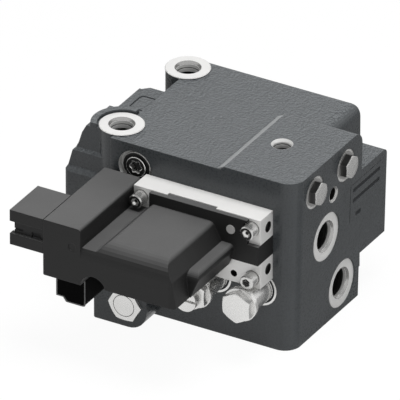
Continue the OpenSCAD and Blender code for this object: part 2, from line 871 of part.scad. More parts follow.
// The adjuster's foot carries the outer end of the left spring
adjuster_foot_h = 3;
module shock_spring_left() {
    color(steel)
        shock_spring(shock_left_x, shock_spring_start + adjuster_foot_h + 0.2);
}

// Slotted adjusting screw through the left cartridge
module shock_adjuster() {
    cap_y = front_y - shock_reach - adjuster_h;
    color(silver)
        difference() {
            union() {
                rod_y([shock_left_x, cap_y, shock_z], adjuster_d, adjuster_h - 0.1);
                rod_y([shock_left_x, cap_y + adjuster_h - 1, shock_z], adjuster_stem_d,
                    shock_hex_h + 2.2);
                rod_y([shock_left_x, shock_spring_start + 0.1, shock_z], shock_inner_d - 0.4,
                    adjuster_foot_h);
            }
            block([shock_left_x - adjuster_d, cap_y - 1, shock_z - adjuster_slot / 2],
                [shock_left_x + adjuster_d, cap_y + 2, shock_z + adjuster_slot / 2]);
        }
}

// Sealing washers of the cartridges, let into the body face
module shock_washers() {
    color(silver)
        for (x = [shock_right_x, shock_left_x])
            ring_y([x, front_y, shock_z], shock_washer_d - 0.2, shock_d + 0.1, shock_washer_t);
}

// Hexagon plug of the priority valve with a shallow round recess in its face
module priority_plug() {
    head_y = priority_face_y - priority_head_h;
    color(silver)
        difference() {
            union() {
                translate([priority_x, head_y, priority_z])
                    rotate([-90, 0, 0])
                        cylinder(d = priority_af / cos(30), h = priority_head_h, $fn = 6);
                rod_y([priority_x, priority_face_y - eps, priority_z], priority_thread_d - 0.1,
                    priority_thread_len);
            }
            ring_y([priority_x, head_y - 1, priority_z], 15.4, 13.9, 1.5);
        }
}

priority_spool_y = priority_face_y + priority_thread_len + priority_spring_len;
module priority_spring() {
    color(steel)
        spring_y([priority_x, priority_face_y + priority_thread_len, priority_z], priority_d - 2, 1.6,
            priority_spring_len, 7);
}

module priority_spool() {
    color(steel)
        difference() {
            rod_y([priority_x, priority_spool_y, priority_z], priority_d, priority_spool_len);
            for (y = [10, 26])
                ring_y([priority_x, priority_spool_y + y, priority_z], priority_d + 2, priority_d - 6, 8);
        }
}

// Plug of the pressure reducing valve: flanged, with a hexagon socket
module reducer_plug() {
    seat_y = front_y + reducer_counter_depth;
    color(steel)
        difference() {
            union() {
                rod_y([reducer_x, seat_y - 2, reducer_z], reducer_counter_d - 3.7, 2);
                rod_y([reducer_x, seat_y - 3.2, reducer_z], reducer_bore_d, 3);
                rod_y([reducer_x, seat_y - eps, reducer_z], reducer_bore_d - 0.1, reducer_thread_len);
            }
            hex_y([reducer_x, seat_y - 3.3, reducer_z], 8, 6);
        }
}

reducer_spring_y = front_y + reducer_counter_depth + reducer_thread_len;
module reducer_spring() {
    color(steel)
        spring_y([reducer_x, reducer_spring_y, reducer_z], reducer_bore_d - 2, 1.4, reducer_spring_len, 5);
}

module reducer_spool() {
    spool_y = reducer_spring_y + reducer_spring_len;
    color(steel)
        difference() {
            rod_y([reducer_x, spool_y, reducer_z], reducer_bore_d - 2 * spool_fit, reducer_spool_len);
            ring_y([reducer_x, spool_y + 7, reducer_z], reducer_bore_d + 2, reducer_bore_d - 5, 7);
        }
}

// Check valves: plug, spring and ball in each of two bores from the right face
check_mouth_x = face_x(check_z) - spot_depth;
check_seal_t = 1;
module check_plugs() {
    color(silver)
        for (y = [check_front_y, check_rear_y]) {
            translate([check_mouth_x + check_seal_t, y, check_z])
                rotate([0, 90, 0])
                    rotate([0, 0, 90])
                        cylinder(d = check_af / cos(30), h = check_head_h, $fn = 6);
            rod_x([check_mouth_x - check_thread_len, y, check_z], check_bore_d - 0.1,
                check_thread_len + check_seal_t + eps);
        }
}

// The ball rests on the edge of the seat drilling
check_ball_x = check_mouth_x - check_depth + sqrt(pow(check_ball_d / 2, 2) - pow(check_seat_d / 2, 2)) + 0.02;
check_spring_d = 8;
check_wire = 1.1;
check_spring_r = (check_spring_d - check_wire) / 2;
check_spring_x = check_ball_x + sqrt(pow((check_ball_d + check_wire) / 2, 2) - pow(check_spring_r, 2))
    - check_wire / 2 + stop_gap;
module check_ball(y) {
    translate([check_ball_x, y, check_z])
        sphere(d = check_ball_d);
}

module check_spring(y) {
    translate([check_mouth_x - check_thread_len, y, check_z])
        rotate([0, 0, 90])
            spring_y([0, 0, 0], check_spring_d, check_wire,
                check_mouth_x - check_thread_len - check_spring_x, 6);
}

module check_ball_front() {
    color(steel)
        check_ball(check_front_y);
}

module check_ball_rear() {
    color(steel)
        check_ball(check_rear_y);
}

module check_spring_front() {
    color(steel)
        check_spring(check_front_y);
}

module check_spring_rear() {
    color(steel)
        check_spring(check_rear_y);
}

// Bonded seals under the check valve heads
module plug_seals() {
    color(steel)
        for (y = [check_front_y, check_rear_y])
            difference() {
                rod_x([check_mouth_x, y, check_z], check_face_d - 3, check_seal_t);
                rod_x([check_mouth_x - 1, y, check_z], check_bore_d + 0.1, check_seal_t + 2);
            }
}

// Aluminium manifold between the valve body and the cover
module actuator_base() {
    color(silver)
        difference() {
            block([base_left_x, base_front_y, base_bottom_z], [base_right_x, front_y, base_top_z]);
            block([base_right_x - base_slot_len, base_front_y - 1, base_slot_z[0]],
                [base_right_x + 1, front_y + 1, base_slot_z[1]]);
            block([base_notch_x[0], base_front_y - 1, base_top_z - 5],
                [base_notch_x[1], base_front_y + base_notch, base_top_z + 1]);
            rod_y([spool_x, front_y - chamber_front, spool_z], chamber_d, chamber_front + 1);
            rod_y([spool_x, base_front_y - 1, spool_z], sensor_core_d + 1, base_t + 1);
            for (x = screw_x, z = screw_z) {
                rod_y([x, base_front_y - 1, z], screw_head_d + 0.8, base_t - screw_seat + 1);
                rod_y([x, base_front_y, z], screw_d + 0.5, base_t + 1);
            }
            for (z = end_hole_z)
                rod_x([base_right_x - 3.2, front_y - 5.8, z], end_hole_d, 4);
            for (x = solenoid_x, z = solenoid_z)
                rod_y([x, base_front_y - 1, z], solenoid_nose_d + 0.1, solenoid_nose_len + 1);
            rod_y([rivet_x, base_front_y - 1, rivet_z], 3, 7);
            rod_y([base_right_x - 19, base_front_y - 1, base_bottom_z + 6], 4.6, 7);
            translate([spool_x, front_y, spool_z])
                rotate([90, 0, 0])
                    seal_groove();
        }
}

seal_ring_d = chamber_d + 4;
seal_section = 2;
module seal_groove() {
    difference() {
        translate([0, 0, -1])
            cylinder(d = seal_ring_d + 2.4, h = 1 + seal_section);
        translate([0, 0, -2])
            cylinder(d = seal_ring_d - 2.4, h = 3 + seal_section);
    }
}

module base_seals() {
    color(rubber)
        translate([spool_x, front_y - seal_section / 2, spool_z])
            rotate([90, 0, 0])
                torus(seal_ring_d, seal_section);
}

module base_screws() {
    color(steel)
        for (x = screw_x, z = screw_z)
            cap_screw_y([x, front_y - screw_seat, z], screw_head_d, screw_head_h, screw_d - 0.2,
                screw_seat + screw_reach, 5);
}

// Position sensor: tube closed at the front, open to the base
module position_sensor() {
    color(steel)
        difference() {
            rod_y([spool_x, base_front_y - sensor_len, spool_z], sensor_d, sensor_len);
            rod_y([spool_x, base_front_y - sensor_len + 3, spool_z], sensor_core_d + 1, sensor_len);
        }
}

// Pilot solenoid: barrel, nose in the base, two contact pins, plunger bore from the nose
module solenoid(x, z) {
    tail_y = base_front_y - solenoid_len;
    difference() {
        union() {
            rod_y([x, tail_y, z], solenoid_d, solenoid_len);
            rod_y([x, base_front_y - eps, z], solenoid_nose_d, solenoid_nose_len - 0.2);
        }
        rod_y([x, base_front_y - plunger_len, z], plunger_d + 0.1, plunger_len + plunger_travel);
        rod_y([x, base_front_y, z], 2, solenoid_nose_len);
    }
    for (side = [-1, 1])
        rod_y([x + side * 2.5, board_y + board_t, z], 1, tail_y - board_y - board_t + eps);
}

module plunger(x, z) {
    rod_y([x, base_front_y - plunger_len, z], plunger_d, plunger_len);
}

module solenoid_1() {
    color(black_plastic)
        solenoid(solenoid_x[0], solenoid_z[0]);
}

module solenoid_2() {
    color(black_plastic)
        solenoid(solenoid_x[1], solenoid_z[0]);
}

module solenoid_3() {
    color(black_plastic)
        solenoid(solenoid_x[0], solenoid_z[1]);
}

module solenoid_4() {
    color(black_plastic)
        solenoid(solenoid_x[1], solenoid_z[1]);
}

module plunger_1() {
    color(steel)
        plunger(solenoid_x[0], solenoid_z[0]);
}

module plunger_2() {
    color(steel)
        plunger(solenoid_x[1], solenoid_z[0]);
}

module plunger_3() {
    color(steel)
        plunger(solenoid_x[0], solenoid_z[1]);
}

module plunger_4() {
    color(steel)
        plunger(solenoid_x[1], solenoid_z[1]);
}

// Board behind the cover's front wall, from the connector arm to the solenoids
module circuit_board() {
    margin = cover_wall + 0.6;
    color(board_green)
        along_y(board_y, board_t)
            polygon([[arm_x[0] + margin, arm_z[0] + margin], [arm_x[1] - margin, arm_z[0] + margin],
                [arm_x[1] - margin, 72.5], [hump_x[0] + margin + 2, 72.5],
                [hump_x[0] + margin + 2, hump_bottom_z + margin],
                [hump_x[1] - margin, hump_bottom_z + margin], [hump_x[1] - margin, hump_top_z - margin - 2],
                [hump_x[0] + margin + 2, hump_top_z - margin - 2],
                [hump_x[0] + margin + 2, valley_z - margin], [arm_x[1] - margin, valley_z - margin],
                [arm_x[1] - margin, arm_z[1] - margin], [arm_x[0] + margin, arm_z[1] - margin]]);
}

// XZ outline of the hump and valley, moved inwards by inset
function hump_outline(inset) = rounded([
    [arm_x[1] - 2 + inset, valley_z - inset, 0],
    [hump_x[0] - 5.4 + inset, valley_z - inset, 2.5],
    [hump_x[0] + inset, hump_top_z - inset, 3],
    [hump_x[1] - inset, hump_top_z - inset, 4 - inset],
    [hump_x[1] + 6.5 - inset, ledge_z - inset, 2],
    [hump_x[1] + 8.6 - inset, hump_bottom_z + inset, 0],
    [arm_x[1] - 2 + inset, hump_bottom_z + inset, 0]]);

module hump(inset) {
    back_y = base_front_y + (inset > 0 ? 1 : 0);
    length = back_y - cover_front_y - inset;
    side_x = hump_x[1] + 12;
    intersection() {
        along_y(cover_front_y + inset, length)
            polygon(hump_outline(inset));
        along_x(arm_x[1] - 3, side_x - arm_x[1] + 3)
            polygon(rounded([[cover_front_y + inset, 0, 0], [back_y, 0, 0], [back_y, hump_top_z, 0],
                [cover_front_y + inset, hump_top_z, hump_roll - inset]]));
        linear_extrude(base_top_z)
            polygon(rounded([[arm_x[1] - 3, cover_front_y + inset, 0],
                [hump_x[1] + 8.6 - inset, cover_front_y + inset, 7 - inset], [side_x, cover_front_y + 9, 0],
                [side_x, back_y, 0], [arm_x[1] - 3, back_y, 0]]));
    }
}

module ledge(inset) {
    back_y = base_front_y + (inset > 0 ? 1 : 0);
    low_z = hump_bottom_z + 1 + inset;
    intersection() {
        along_y(ledge_front_y + inset, back_y - ledge_front_y - inset)
            polygon(rounded([[hump_x[1] - 4, low_z, 0], [ledge_x - 7 - inset, low_z, 0],
                [ledge_x - inset, ledge_z - inset, 3.5 - inset], [hump_x[1] - 4, ledge_z - inset, 0]]));
        along_x(hump_x[1] - 4, ledge_x - hump_x[1] + 4)
            polygon(rounded([[ledge_front_y + inset, low_z, 0], [back_y, low_z, 0], [back_y, ledge_z, 0],
                [ledge_front_y + inset, ledge_z, 6 - inset]]));
    }
}

// Arm that carries the connectors, its long top edge rounded on the valley side
module arm() {
    along_y(cover_front_y, arm_back_y - cover_front_y)
        polygon(rounded([[arm_x[0], arm_z[0], 0.8], [arm_x[1], arm_z[0], 0], [arm_x[1], arm_z[1], 2.4],
            [arm_x[0], arm_z[1], 0.8]]));
}

// Lip of the cover, let into the notch in the base's top edge
module cover_lip() {
    block([base_notch_x[0] + 0.2, base_front_y - flange_t, hump_top_z - 6],
        [base_notch_x[1] - 0.2, base_front_y, base_top_z - 0.6]);
    block([base_notch_x[0] + 0.2, base_front_y - eps, base_top_z - 4.9],
        [base_notch_x[1] - 0.2, base_front_y + base_notch - 0.1, base_top_z - 0.6]);
}

// Moulded cover: shell over the solenoids, arm for the connectors, flange and tongue on the base
module actuator_cover() {
    arm_low = [arm_x[0], cover_front_y, arm_z[0]];
    arm_high = [arm_x[1], arm_back_y, arm_z[1]];
    wall = [cover_wall, cover_wall, cover_wall];
    arch_x = spool_x - 37;
    color(dark_plastic)
        difference() {
            union() {
                difference() {
                    union() {
                        arm();
                        hump(0);
                        ledge(0);
                        block([hump_x[1] - 4, base_front_y - flange_t, ledge_z - 4],
                            [base_right_x - flange_x, base_front_y, base_top_z - 0.6]);
                        block([arm_x[1] + 13, base_front_y - flange_t, valley_z - 6],
                            [base_notch_x[0] + 1, base_front_y, base_top_z - 0.6]);
                        cover_lip();
                        block([base_right_x - base_slot_len, base_front_y - flange_t, base_slot_z[0] + 0.1],
                            [base_right_x, front_y - 0.1, base_slot_z[1] - 0.1]);
                        rod_y([arch_x, cover_front_y, hump_bottom_z - 2], 2 * (arch_r + cover_wall),
                            base_front_y - cover_front_y);
                    }
                    block([arch_x - 20, cover_front_y - 1, 0], [arch_x + 20, base_front_y + 1, arm_z[0]]);
                    block([arm_x[1], cover_front_y - 1, 0], [arch_x + 20, base_front_y + 1, hump_bottom_z]);
                    block(arm_low + wall, arm_high - wall);
                    difference() {
                        union() {
                            hump(cover_wall);
                            ledge(cover_wall);
                        }
                        rod_y([arch_x, cover_front_y, hump_bottom_z - 2], 2 * (arch_r + cover_wall),
                            base_front_y - cover_front_y);
                        block([arm_x[1] - 4, cover_front_y, 0],
                            [arm_x[1] + cover_wall, base_front_y + 1, base_top_z]);
                    }
                    block([arm_x[1] - 5, cover_front_y + cover_wall, 72],
                        [arm_x[1] + cover_wall + 1, cover_front_y + 12, valley_z - cover_wall]);
                }
                for (p = [[arm_x[0] + 6, 70], [arm_x[0] + 6, 92], [hump_x[1] - 6, 68], [hump_x[1] - 6, 84]])
                    rod_y([p[0], cover_front_y + cover_wall - eps, p[1]], post_d, post_h + eps);
            }
            rod_y([arch_x, cover_front_y - 1, hump_bottom_z - 2], 2 * arch_r, cover_reach);
            block([arm_x[0] - 1, upper_y + 4, upper_z + 3],
                [arm_x[0] + cover_wall + 1, upper_y + header_w - 4, arm_z[1] - 4]);
            block([lower_x[1] - 12, lower_y + 4, arm_z[0] - 1],
                [lower_x[1] - 4, lower_y + header_w - 4, arm_z[0] + cover_wall + 1]);
            for (x = screw_x)
                rod_y([x, base_front_y - flange_t - 1, screw_z[1]], screw_head_d + 1.2, flange_t + 2);
            rod_y([rivet_x, base_front_y - flange_t - 1, rivet_z], 3, flange_t + 2);
            rod_y([arm_x[0] + 20.7, cover_front_y - 1, arm_z[1] - 13.9], 5.4, 1.4);
        }
}

// Rivet that holds the cover's flange to the base
module cover_rivet() {
    color(silver) {
        rod_y([rivet_x, base_front_y - flange_t - 0.8, rivet_z], rivet_d, 0.8);
        rod_y([rivet_x, base_front_y - flange_t - eps, rivet_z], 2.9, flange_t + 5);
    }
}

// Upper header: two slabs with a set-back latch zone between them, mouth to the left
module upper_header() {
    high = [arm_x[0], upper_y + header_w, arm_z[1]];
    color(dark_plastic)
        difference() {
            union() {
                block([upper_x, upper_y, arm_z[1] - slab_h], high);
                block([upper_x, upper_y, upper_z], [high[0], high[1], upper_z + slab_h]);
                block([upper_x + latch_inset, upper_y + latch_inset, upper_z],
                    [high[0], high[1] - latch_inset, high[2]]);
            }
            block([upper_x - 1, upper_y + latch_inset + header_wall, upper_z + header_wall + 1],
                [upper_x + mouth_depth, high[1] - latch_inset - header_wall, high[2] - header_wall - 1]);
            block([upper_x + 1.8, upper_y, upper_z + 10], [upper_x + 8.3, upper_y + latch_inset + 1,
                upper_z + 11.3]);
            block([upper_x + 14.7, upper_y, upper_z + slab_h], [upper_x + 21.2, upper_y + latch_inset + 1,
                upper_z + slab_h + 3.6]);
            header_pin_holes([upper_x + mouth_depth - 1, upper_y + header_w / 2, upper_z + upper_h / 2]);
        }
}

// Centres of the contacts about the middle of a header
function pin_places() = [for (row = [0 : pin_rows - 1], col = [0 : pin_cols - 1])
    [(col - (pin_cols - 1) / 2) * pin_pitch_y, (row - (pin_rows - 1) / 2) * pin_pitch_z]];

module header_pin_holes(centre) {
    for (p = pin_places())
        rod_x(centre + [0, p[0], p[1]], pin_d + 0.1, upper_len);
}

// Lower header, hung under the arm: stepped shroud with its mouth to the left
module lower_header() {
    mouth_x = lower_x[0];
    centre_z = lower_z + 10;
    color(black_plastic)
        difference() {
            along_y(lower_y, header_w)
                polygon(rounded([[lower_x[0], lower_z + 3, 0.6], [lower_x[0] + lower_rim, lower_z + 3, 0],
                    [lower_x[0] + lower_rim + 2, lower_z, 2], [lower_x[1], lower_z, 3],
                    [lower_x[1], arm_z[0], 0], [lower_x[0], arm_z[0], 0]]));
            block([mouth_x - 1, lower_y + header_wall, lower_z + 5],
                [mouth_x + 13, lower_y + header_w - header_wall, arm_z[0] - header_wall]);
            for (p = pin_places()) {
                rod_x([mouth_x + 12, lower_y + header_w / 2 + p[0], centre_z + p[1]], pin_d + 0.1,
                    4 - p[1] / 2);
                translate([mouth_x + 14 - p[1] / 2, lower_y + header_w / 2 + p[0],
                    centre_z + p[1] - pin_d / 2 - 0.05])
                    cylinder(d = pin_d + 0.1, h = 20);
            }
        }
}

// Contacts of the upper header, straight through into the arm
module upper_pins() {
    color(brass)
        for (p = pin_places())
            rod_x([upper_x + 9, upper_y + header_w / 2 + p[0], upper_z + upper_h / 2 + p[1]], pin_d, 22);
}

// Contacts of the lower header, bent up into the arm
module lower_pins() {
    centre_z = lower_z + 10;
    color(brass)
        for (p = pin_places()) {
            bend_x = lower_x[0] + 14 - p[1] / 2;
            at_y = lower_y + header_w / 2 + p[0];
            rod_x([lower_x[0] + 5, at_y, centre_z + p[1]], pin_d, bend_x - lower_x[0] - 5);
            translate([bend_x, at_y, centre_z + p[1] - pin_d / 2])
                cylinder(d = pin_d, h = arm_z[0] + 6 - centre_z - p[1]);
        }
}

valve_body();
rear_cap();
rear_cap_screws();
rear_cap_seal();
main_spool();
spool_spring_front();
spool_spring_rear();
sensor_rod();
shock_cartridge_right();
shock_poppet_right();
shock_spring_right();
shock_cartridge_left();
shock_poppet_left();
shock_spring_left();
shock_adjuster();
shock_washers();
priority_plug();
priority_spool();
priority_spring();
reducer_plug();
reducer_spool();
reducer_spring();
check_plugs();
check_ball_front();
check_ball_rear();
check_spring_front();
check_spring_rear();
plug_seals();
actuator_base();
base_seals();
base_screws();
position_sensor();
solenoid_1();
solenoid_2();
solenoid_3();
solenoid_4();
plunger_1();
plunger_2();
plunger_3();
plunger_4();
circuit_board();
actuator_cover();
cover_rivet();
upper_header();
lower_header();
upper_pins();
lower_pins();
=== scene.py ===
"""Looks of the steering valve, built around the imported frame. Metres, in the row frame."""

from collections import namedtuple
import json
import math

import bmesh
import bpy
from mathutils import Matrix, Vector


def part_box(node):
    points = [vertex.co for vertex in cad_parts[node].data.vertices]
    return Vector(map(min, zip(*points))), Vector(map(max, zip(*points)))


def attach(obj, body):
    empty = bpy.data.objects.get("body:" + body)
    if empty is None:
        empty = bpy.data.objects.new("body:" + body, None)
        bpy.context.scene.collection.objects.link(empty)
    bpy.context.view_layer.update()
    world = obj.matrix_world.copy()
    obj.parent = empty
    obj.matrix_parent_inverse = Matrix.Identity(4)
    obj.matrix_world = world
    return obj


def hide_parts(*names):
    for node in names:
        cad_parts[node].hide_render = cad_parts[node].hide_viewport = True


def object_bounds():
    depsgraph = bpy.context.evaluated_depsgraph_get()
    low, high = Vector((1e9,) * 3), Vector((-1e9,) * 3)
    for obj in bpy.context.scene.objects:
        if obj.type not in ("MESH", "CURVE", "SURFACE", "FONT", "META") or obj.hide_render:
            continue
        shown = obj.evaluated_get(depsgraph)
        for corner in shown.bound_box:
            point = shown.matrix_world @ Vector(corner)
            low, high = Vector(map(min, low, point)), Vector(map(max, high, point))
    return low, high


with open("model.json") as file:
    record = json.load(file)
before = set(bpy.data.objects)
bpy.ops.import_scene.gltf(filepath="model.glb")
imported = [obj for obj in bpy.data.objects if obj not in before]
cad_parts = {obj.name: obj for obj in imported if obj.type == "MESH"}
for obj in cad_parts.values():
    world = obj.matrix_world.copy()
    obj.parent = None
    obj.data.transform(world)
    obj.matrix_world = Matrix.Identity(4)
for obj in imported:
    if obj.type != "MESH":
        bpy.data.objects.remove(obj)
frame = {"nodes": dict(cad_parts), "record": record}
cad_low, cad_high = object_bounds()
MM = 0.001


# Places, worked out from the frame in millimetres. The right face leans by FACE_LEAN over its height, and
# the spot faces of its sealed ports and plugs are SPOT_DEPTH deep.
X, Y, Z = 0, 1, 2
RIGHT, LEFT, FRONT, UP = (1, 0, 0), (-1, 0, 0), (0, -1, 0), (0, 0, 1)
MOUNTS = {mount["name"]: mount for mount in frame["record"]["mounts"]}


def corners(node):
    """Lowest and highest corner of a node, without the rounding noise of the mesh file."""
    return [tuple(round(v / MM, 3) for v in corner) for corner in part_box(node)]


def centre(node):
    """Middle of a node's box, to a tenth of a millimetre."""
    low, high = corners(node)
    return [round((a + b) / 2, 1) for a, b in zip(low, high)]


def outer_centres(node, axis, reach):
    """Centres of the first and last of a node's equal pieces, which reach that far along an axis."""
    low, high = corners(node)
    return round(low[axis] + reach, 1), round(high[axis] - reach, 1)


body_top_z = corners("valve_body")[1][Z]
body_right_x = corners("valve_body")[1][X]
base_low, base_high = corners("actuator_base")
front_y = base_high[Y]
FACE_LEAN = 3
SPOT_DEPTH = 0.8


def face_x(z):
    """Right face of the casting at a height, on its drafted plane."""
    return body_right_x - FACE_LEAN * (body_top_z - z) / body_top_z


# Camera: the photograph has no perspective, and a very long lens stands in for that, so that the other
# views fit the frame. The picture is 0.25 m wide. The body's upper front right corner lies CORNER_RIGHT and
# CORNER_UP millimetres from its middle, and NEAR_SHIFT is how far in front of that corner the lens is true.
VIEW_WIDTH = 0.25
VIEW_ANGLE = math.radians(30)
LENS = 1400
SENSOR = 36
NEAR_SHIFT = 0.08
CORNER_RIGHT = 59.69
CORNER_UP = 7.56


def make_camera():
    flat = math.cos(VIEW_ANGLE)
    back = Vector((math.sin(VIEW_ANGLE) * flat, -math.cos(VIEW_ANGLE) * flat, math.sin(VIEW_ANGLE)))
    right = Vector((math.cos(VIEW_ANGLE), math.sin(VIEW_ANGLE), 0))
    up = back.cross(right)
    corner = Vector((body_right_x, front_y, body_top_z)) * MM
    target = corner - right * CORNER_RIGHT * MM - up * CORNER_UP * MM
    distance = VIEW_WIDTH * LENS / SENSOR - NEAR_SHIFT
    data = bpy.data.cameras.new("camera")
    data.lens = LENS
    data.sensor_width = SENSOR
    data.clip_end = 2 * distance
    camera = bpy.data.objects.new("camera", data)
    bpy.context.collection.objects.link(camera)
    turn = Matrix((right, up, back)).transposed().to_4x4()
    camera.matrix_world = Matrix.Translation(target + back * distance) @ turn
    bpy.context.scene.camera = camera


# Materials
def lin(grey):
    """Linear value of an sRGB level from 0 to 255, or of three of them."""
    if isinstance(grey, tuple):
        return tuple(lin(g) for g in grey)
    c = grey / 255
    return c / 12.92 if c <= 0.04045 else ((c + 0.055) / 1.055) ** 2.4


class Tree:
    """Short way to write a node tree."""

    def __init__(self, owner):
        owner.use_nodes = True
        self.nodes = owner.node_tree.nodes
        self.links = owner.node_tree.links

    def put(self, socket, value):
        if isinstance(value, bpy.types.NodeSocket):
            self.links.new(value, socket)
        elif isinstance(value, tuple) and len(value) == 3 and socket.type == "RGBA":
            socket.default_value = (*value, 1)
        else:
            socket.default_value = value

    def outputs(self, kind):
        return self.nodes.new(kind).outputs

    def node(self, kind, out=0, **values):
        """Adds a node. A value named in_3 goes to its input 3, and any other is a setting of the node."""
        n = self.nodes.new(kind)
        for key, value in values.items():
            if key.startswith("in_"):
                self.put(n.inputs[int(key[3:])], value)
            else:
                setattr(n, key, value)
        return n.outputs[out]

    def math(self, operation, a, b, c=0.0):
        return self.node("ShaderNodeMath", operation=operation, in_0=a, in_1=b, in_2=c)

    def part(self, vector, axis):
        return self.node("ShaderNodeSeparateXYZ", out=axis, in_0=vector)

    def spread(self, value, low, high, to_low=0.0, to_high=1.0):
        """Maps low to high onto another range, and stays inside it."""
        return self.node("ShaderNodeMapRange", in_0=value, in_1=low, in_2=high, in_3=to_low, in_4=to_high)


class Finish(Tree):
    """Node tree of one material, with the steps that the finishes share."""

    def __init__(self, name):
        self.material = bpy.data.materials.new(name)
        super().__init__(self.material)
        self.shader = self.nodes["Principled BSDF"]
        coordinates = self.outputs("ShaderNodeTexCoord")
        self.position = coordinates["Object"]
        self.normal = coordinates["Normal"]

    def noise(self, scale, detail, rough, stretch=(1, 1, 1), shift=(0, 0, 0), distortion=0.0):
        vector = self.node("ShaderNodeMapping", in_0=self.position, in_1=shift, in_3=stretch)
        n = self.nodes.new("ShaderNodeTexNoise")
        self.put(n.inputs["Vector"], vector)
        n.inputs["Scale"].default_value = scale
        n.inputs["Detail"].default_value = detail
        n.inputs["Roughness"].default_value = rough
        n.inputs["Distortion"].default_value = distortion
        return n.outputs[0]

    def blend(self, factor, a, b):
        return self.node("ShaderNodeMix", out=2, data_type="RGBA", in_0=factor, in_6=a, in_7=b)

    def bump(self, height, distance, strength, normal):
        n = self.nodes.new("ShaderNodeBump")
        for key, value in (("Strength", strength), ("Distance", distance), ("Height", height),
                           ("Normal", normal)):
            self.put(n.inputs[key], value)
        return n.outputs[0]

    def soft_edge(self, radius):
        n = self.nodes.new("ShaderNodeBevel")
        n.samples = 6
        n.inputs["Radius"].default_value = radius
        return n.outputs[0]

    def finish(self, colour, rough, metal, normal, specular=0.5):
        for key, value in (("Base Color", colour), ("Roughness", rough), ("Metallic", metal),
                           ("Normal", normal), ("Specular IOR Level", specular)):
            self.put(self.shader.inputs[key], value)
        return self.material


def cast_coat():
    """Dark coating over a cast skin: leathery grain on top, calmer on the sides. Its colour is painted darker
    on the sides as shade, and lighter on top as light.
    """
    n = Finish("cast_coat")
    across, up = n.part(n.normal, X), n.part(n.normal, Z)
    facing_up = n.spread(up, 0.55, 0.9)
    leather = {"scale": 620, "detail": 1.5, "rough": 0.5, "distortion": 0.5}
    side_grain = 0.04
    grain_depth = 0.0026
    edge_radius = 0.0011
    grain = n.noise(**leather)
    height = n.math("MULTIPLY", grain, n.spread(facing_up, 0, 1, side_grain, 1.0))
    normal = n.bump(height, grain_depth, 0.8, n.soft_edge(edge_radius))
    cloud = n.spread(n.noise(28, 3, 0.6), 0.3, 0.7)
    # Painted shade: the walls get a darker colour than the top, which takes over where a face looks up
    side = n.blend(cloud, lin((56, 59, 61)), lin((63, 66, 68)))
    # Painted light and shade: the grain less the same noise a little to one side paints one flank of each lump
    # lighter and the other darker
    beside = n.noise(shift=(0.0004, -0.0006, 0), **leather)
    painted_grain_light = n.spread(n.math("SUBTRACT", grain, beside), -0.12, 0.12)
    top = n.blend(painted_grain_light, lin((72, 75, 77)), lin((114, 117, 119)))
    # Painted highlight: steep flanks that face the left end are coloured bright, where the light falls on them
    painted_flank_highlight = n.math("MULTIPLY", n.spread(across, -0.62, -0.68), n.spread(up, 0.62, 0.7))
    colour = n.blend(painted_flank_highlight, n.blend(facing_up, side, top), lin((150, 152, 153)))
    side_gloss = n.spread(grain, 0.3, 0.7, 0.24, 0.34)
    rough = n.math("ADD", side_gloss, n.spread(facing_up, 0, 1, 0.0, 0.16))
    return n.finish(colour, rough, 0.0, normal, specular=0.34)


def plain_metal(name, grey, rough, metal=0.75, top_metal=None, scale=900, stretch=(1, 1, 1),
                tint=(1.0, 0.995, 0.98)):
    """Turned, milled or plated metal with fine tool marks. Faces that look up may be less metallic."""
    n = Finish(name)
    marks = n.noise(scale, 3, 0.6, stretch)
    cloud = n.spread(n.noise(60, 2, 0.5), 0.3, 0.7)
    base = tuple(lin(grey) * t for t in tint)
    dull = tuple(b * 0.94 for b in base)
    roughness = n.spread(marks, 0.3, 0.7, rough - 0.02, rough + 0.02)
    if top_metal is not None:
        metal = n.spread(n.part(n.normal, Z), 0.3, 0.8, metal, top_metal)
    return n.finish(n.blend(cloud, dull, base), roughness, metal, n.soft_edge(0.0003))


def plastic(name, grey, rough, side=None, grain=1500, depth=0.00006, specular=0.4, edge=0.0009):
    """Moulded plastic with a fine spark-eroded texture. Its walls may be given a darker grey than its top, as
    painted shade.
    """
    n = Finish(name)
    texture = n.noise(grain, 2, 0.5)
    cloud = n.spread(n.noise(35, 2, 0.5), 0.3, 0.7)
    base = lin(grey if isinstance(grey, tuple) else (grey, grey, grey))
    colour = n.blend(cloud, tuple(c * 0.92 for c in base), tuple(c * 1.06 for c in base))
    if side is not None:
        # Painted shade: the walls take the darker side grey
        colour = n.blend(n.spread(n.part(n.normal, Z), 0.45, 0.97), lin((side, side, side)), colour)
    normal = n.bump(texture, depth, 0.5, n.soft_edge(edge))
    return n.finish(colour, n.spread(texture, 0.3, 0.7, rough - 0.04, rough + 0.05), 0.0, normal, specular)


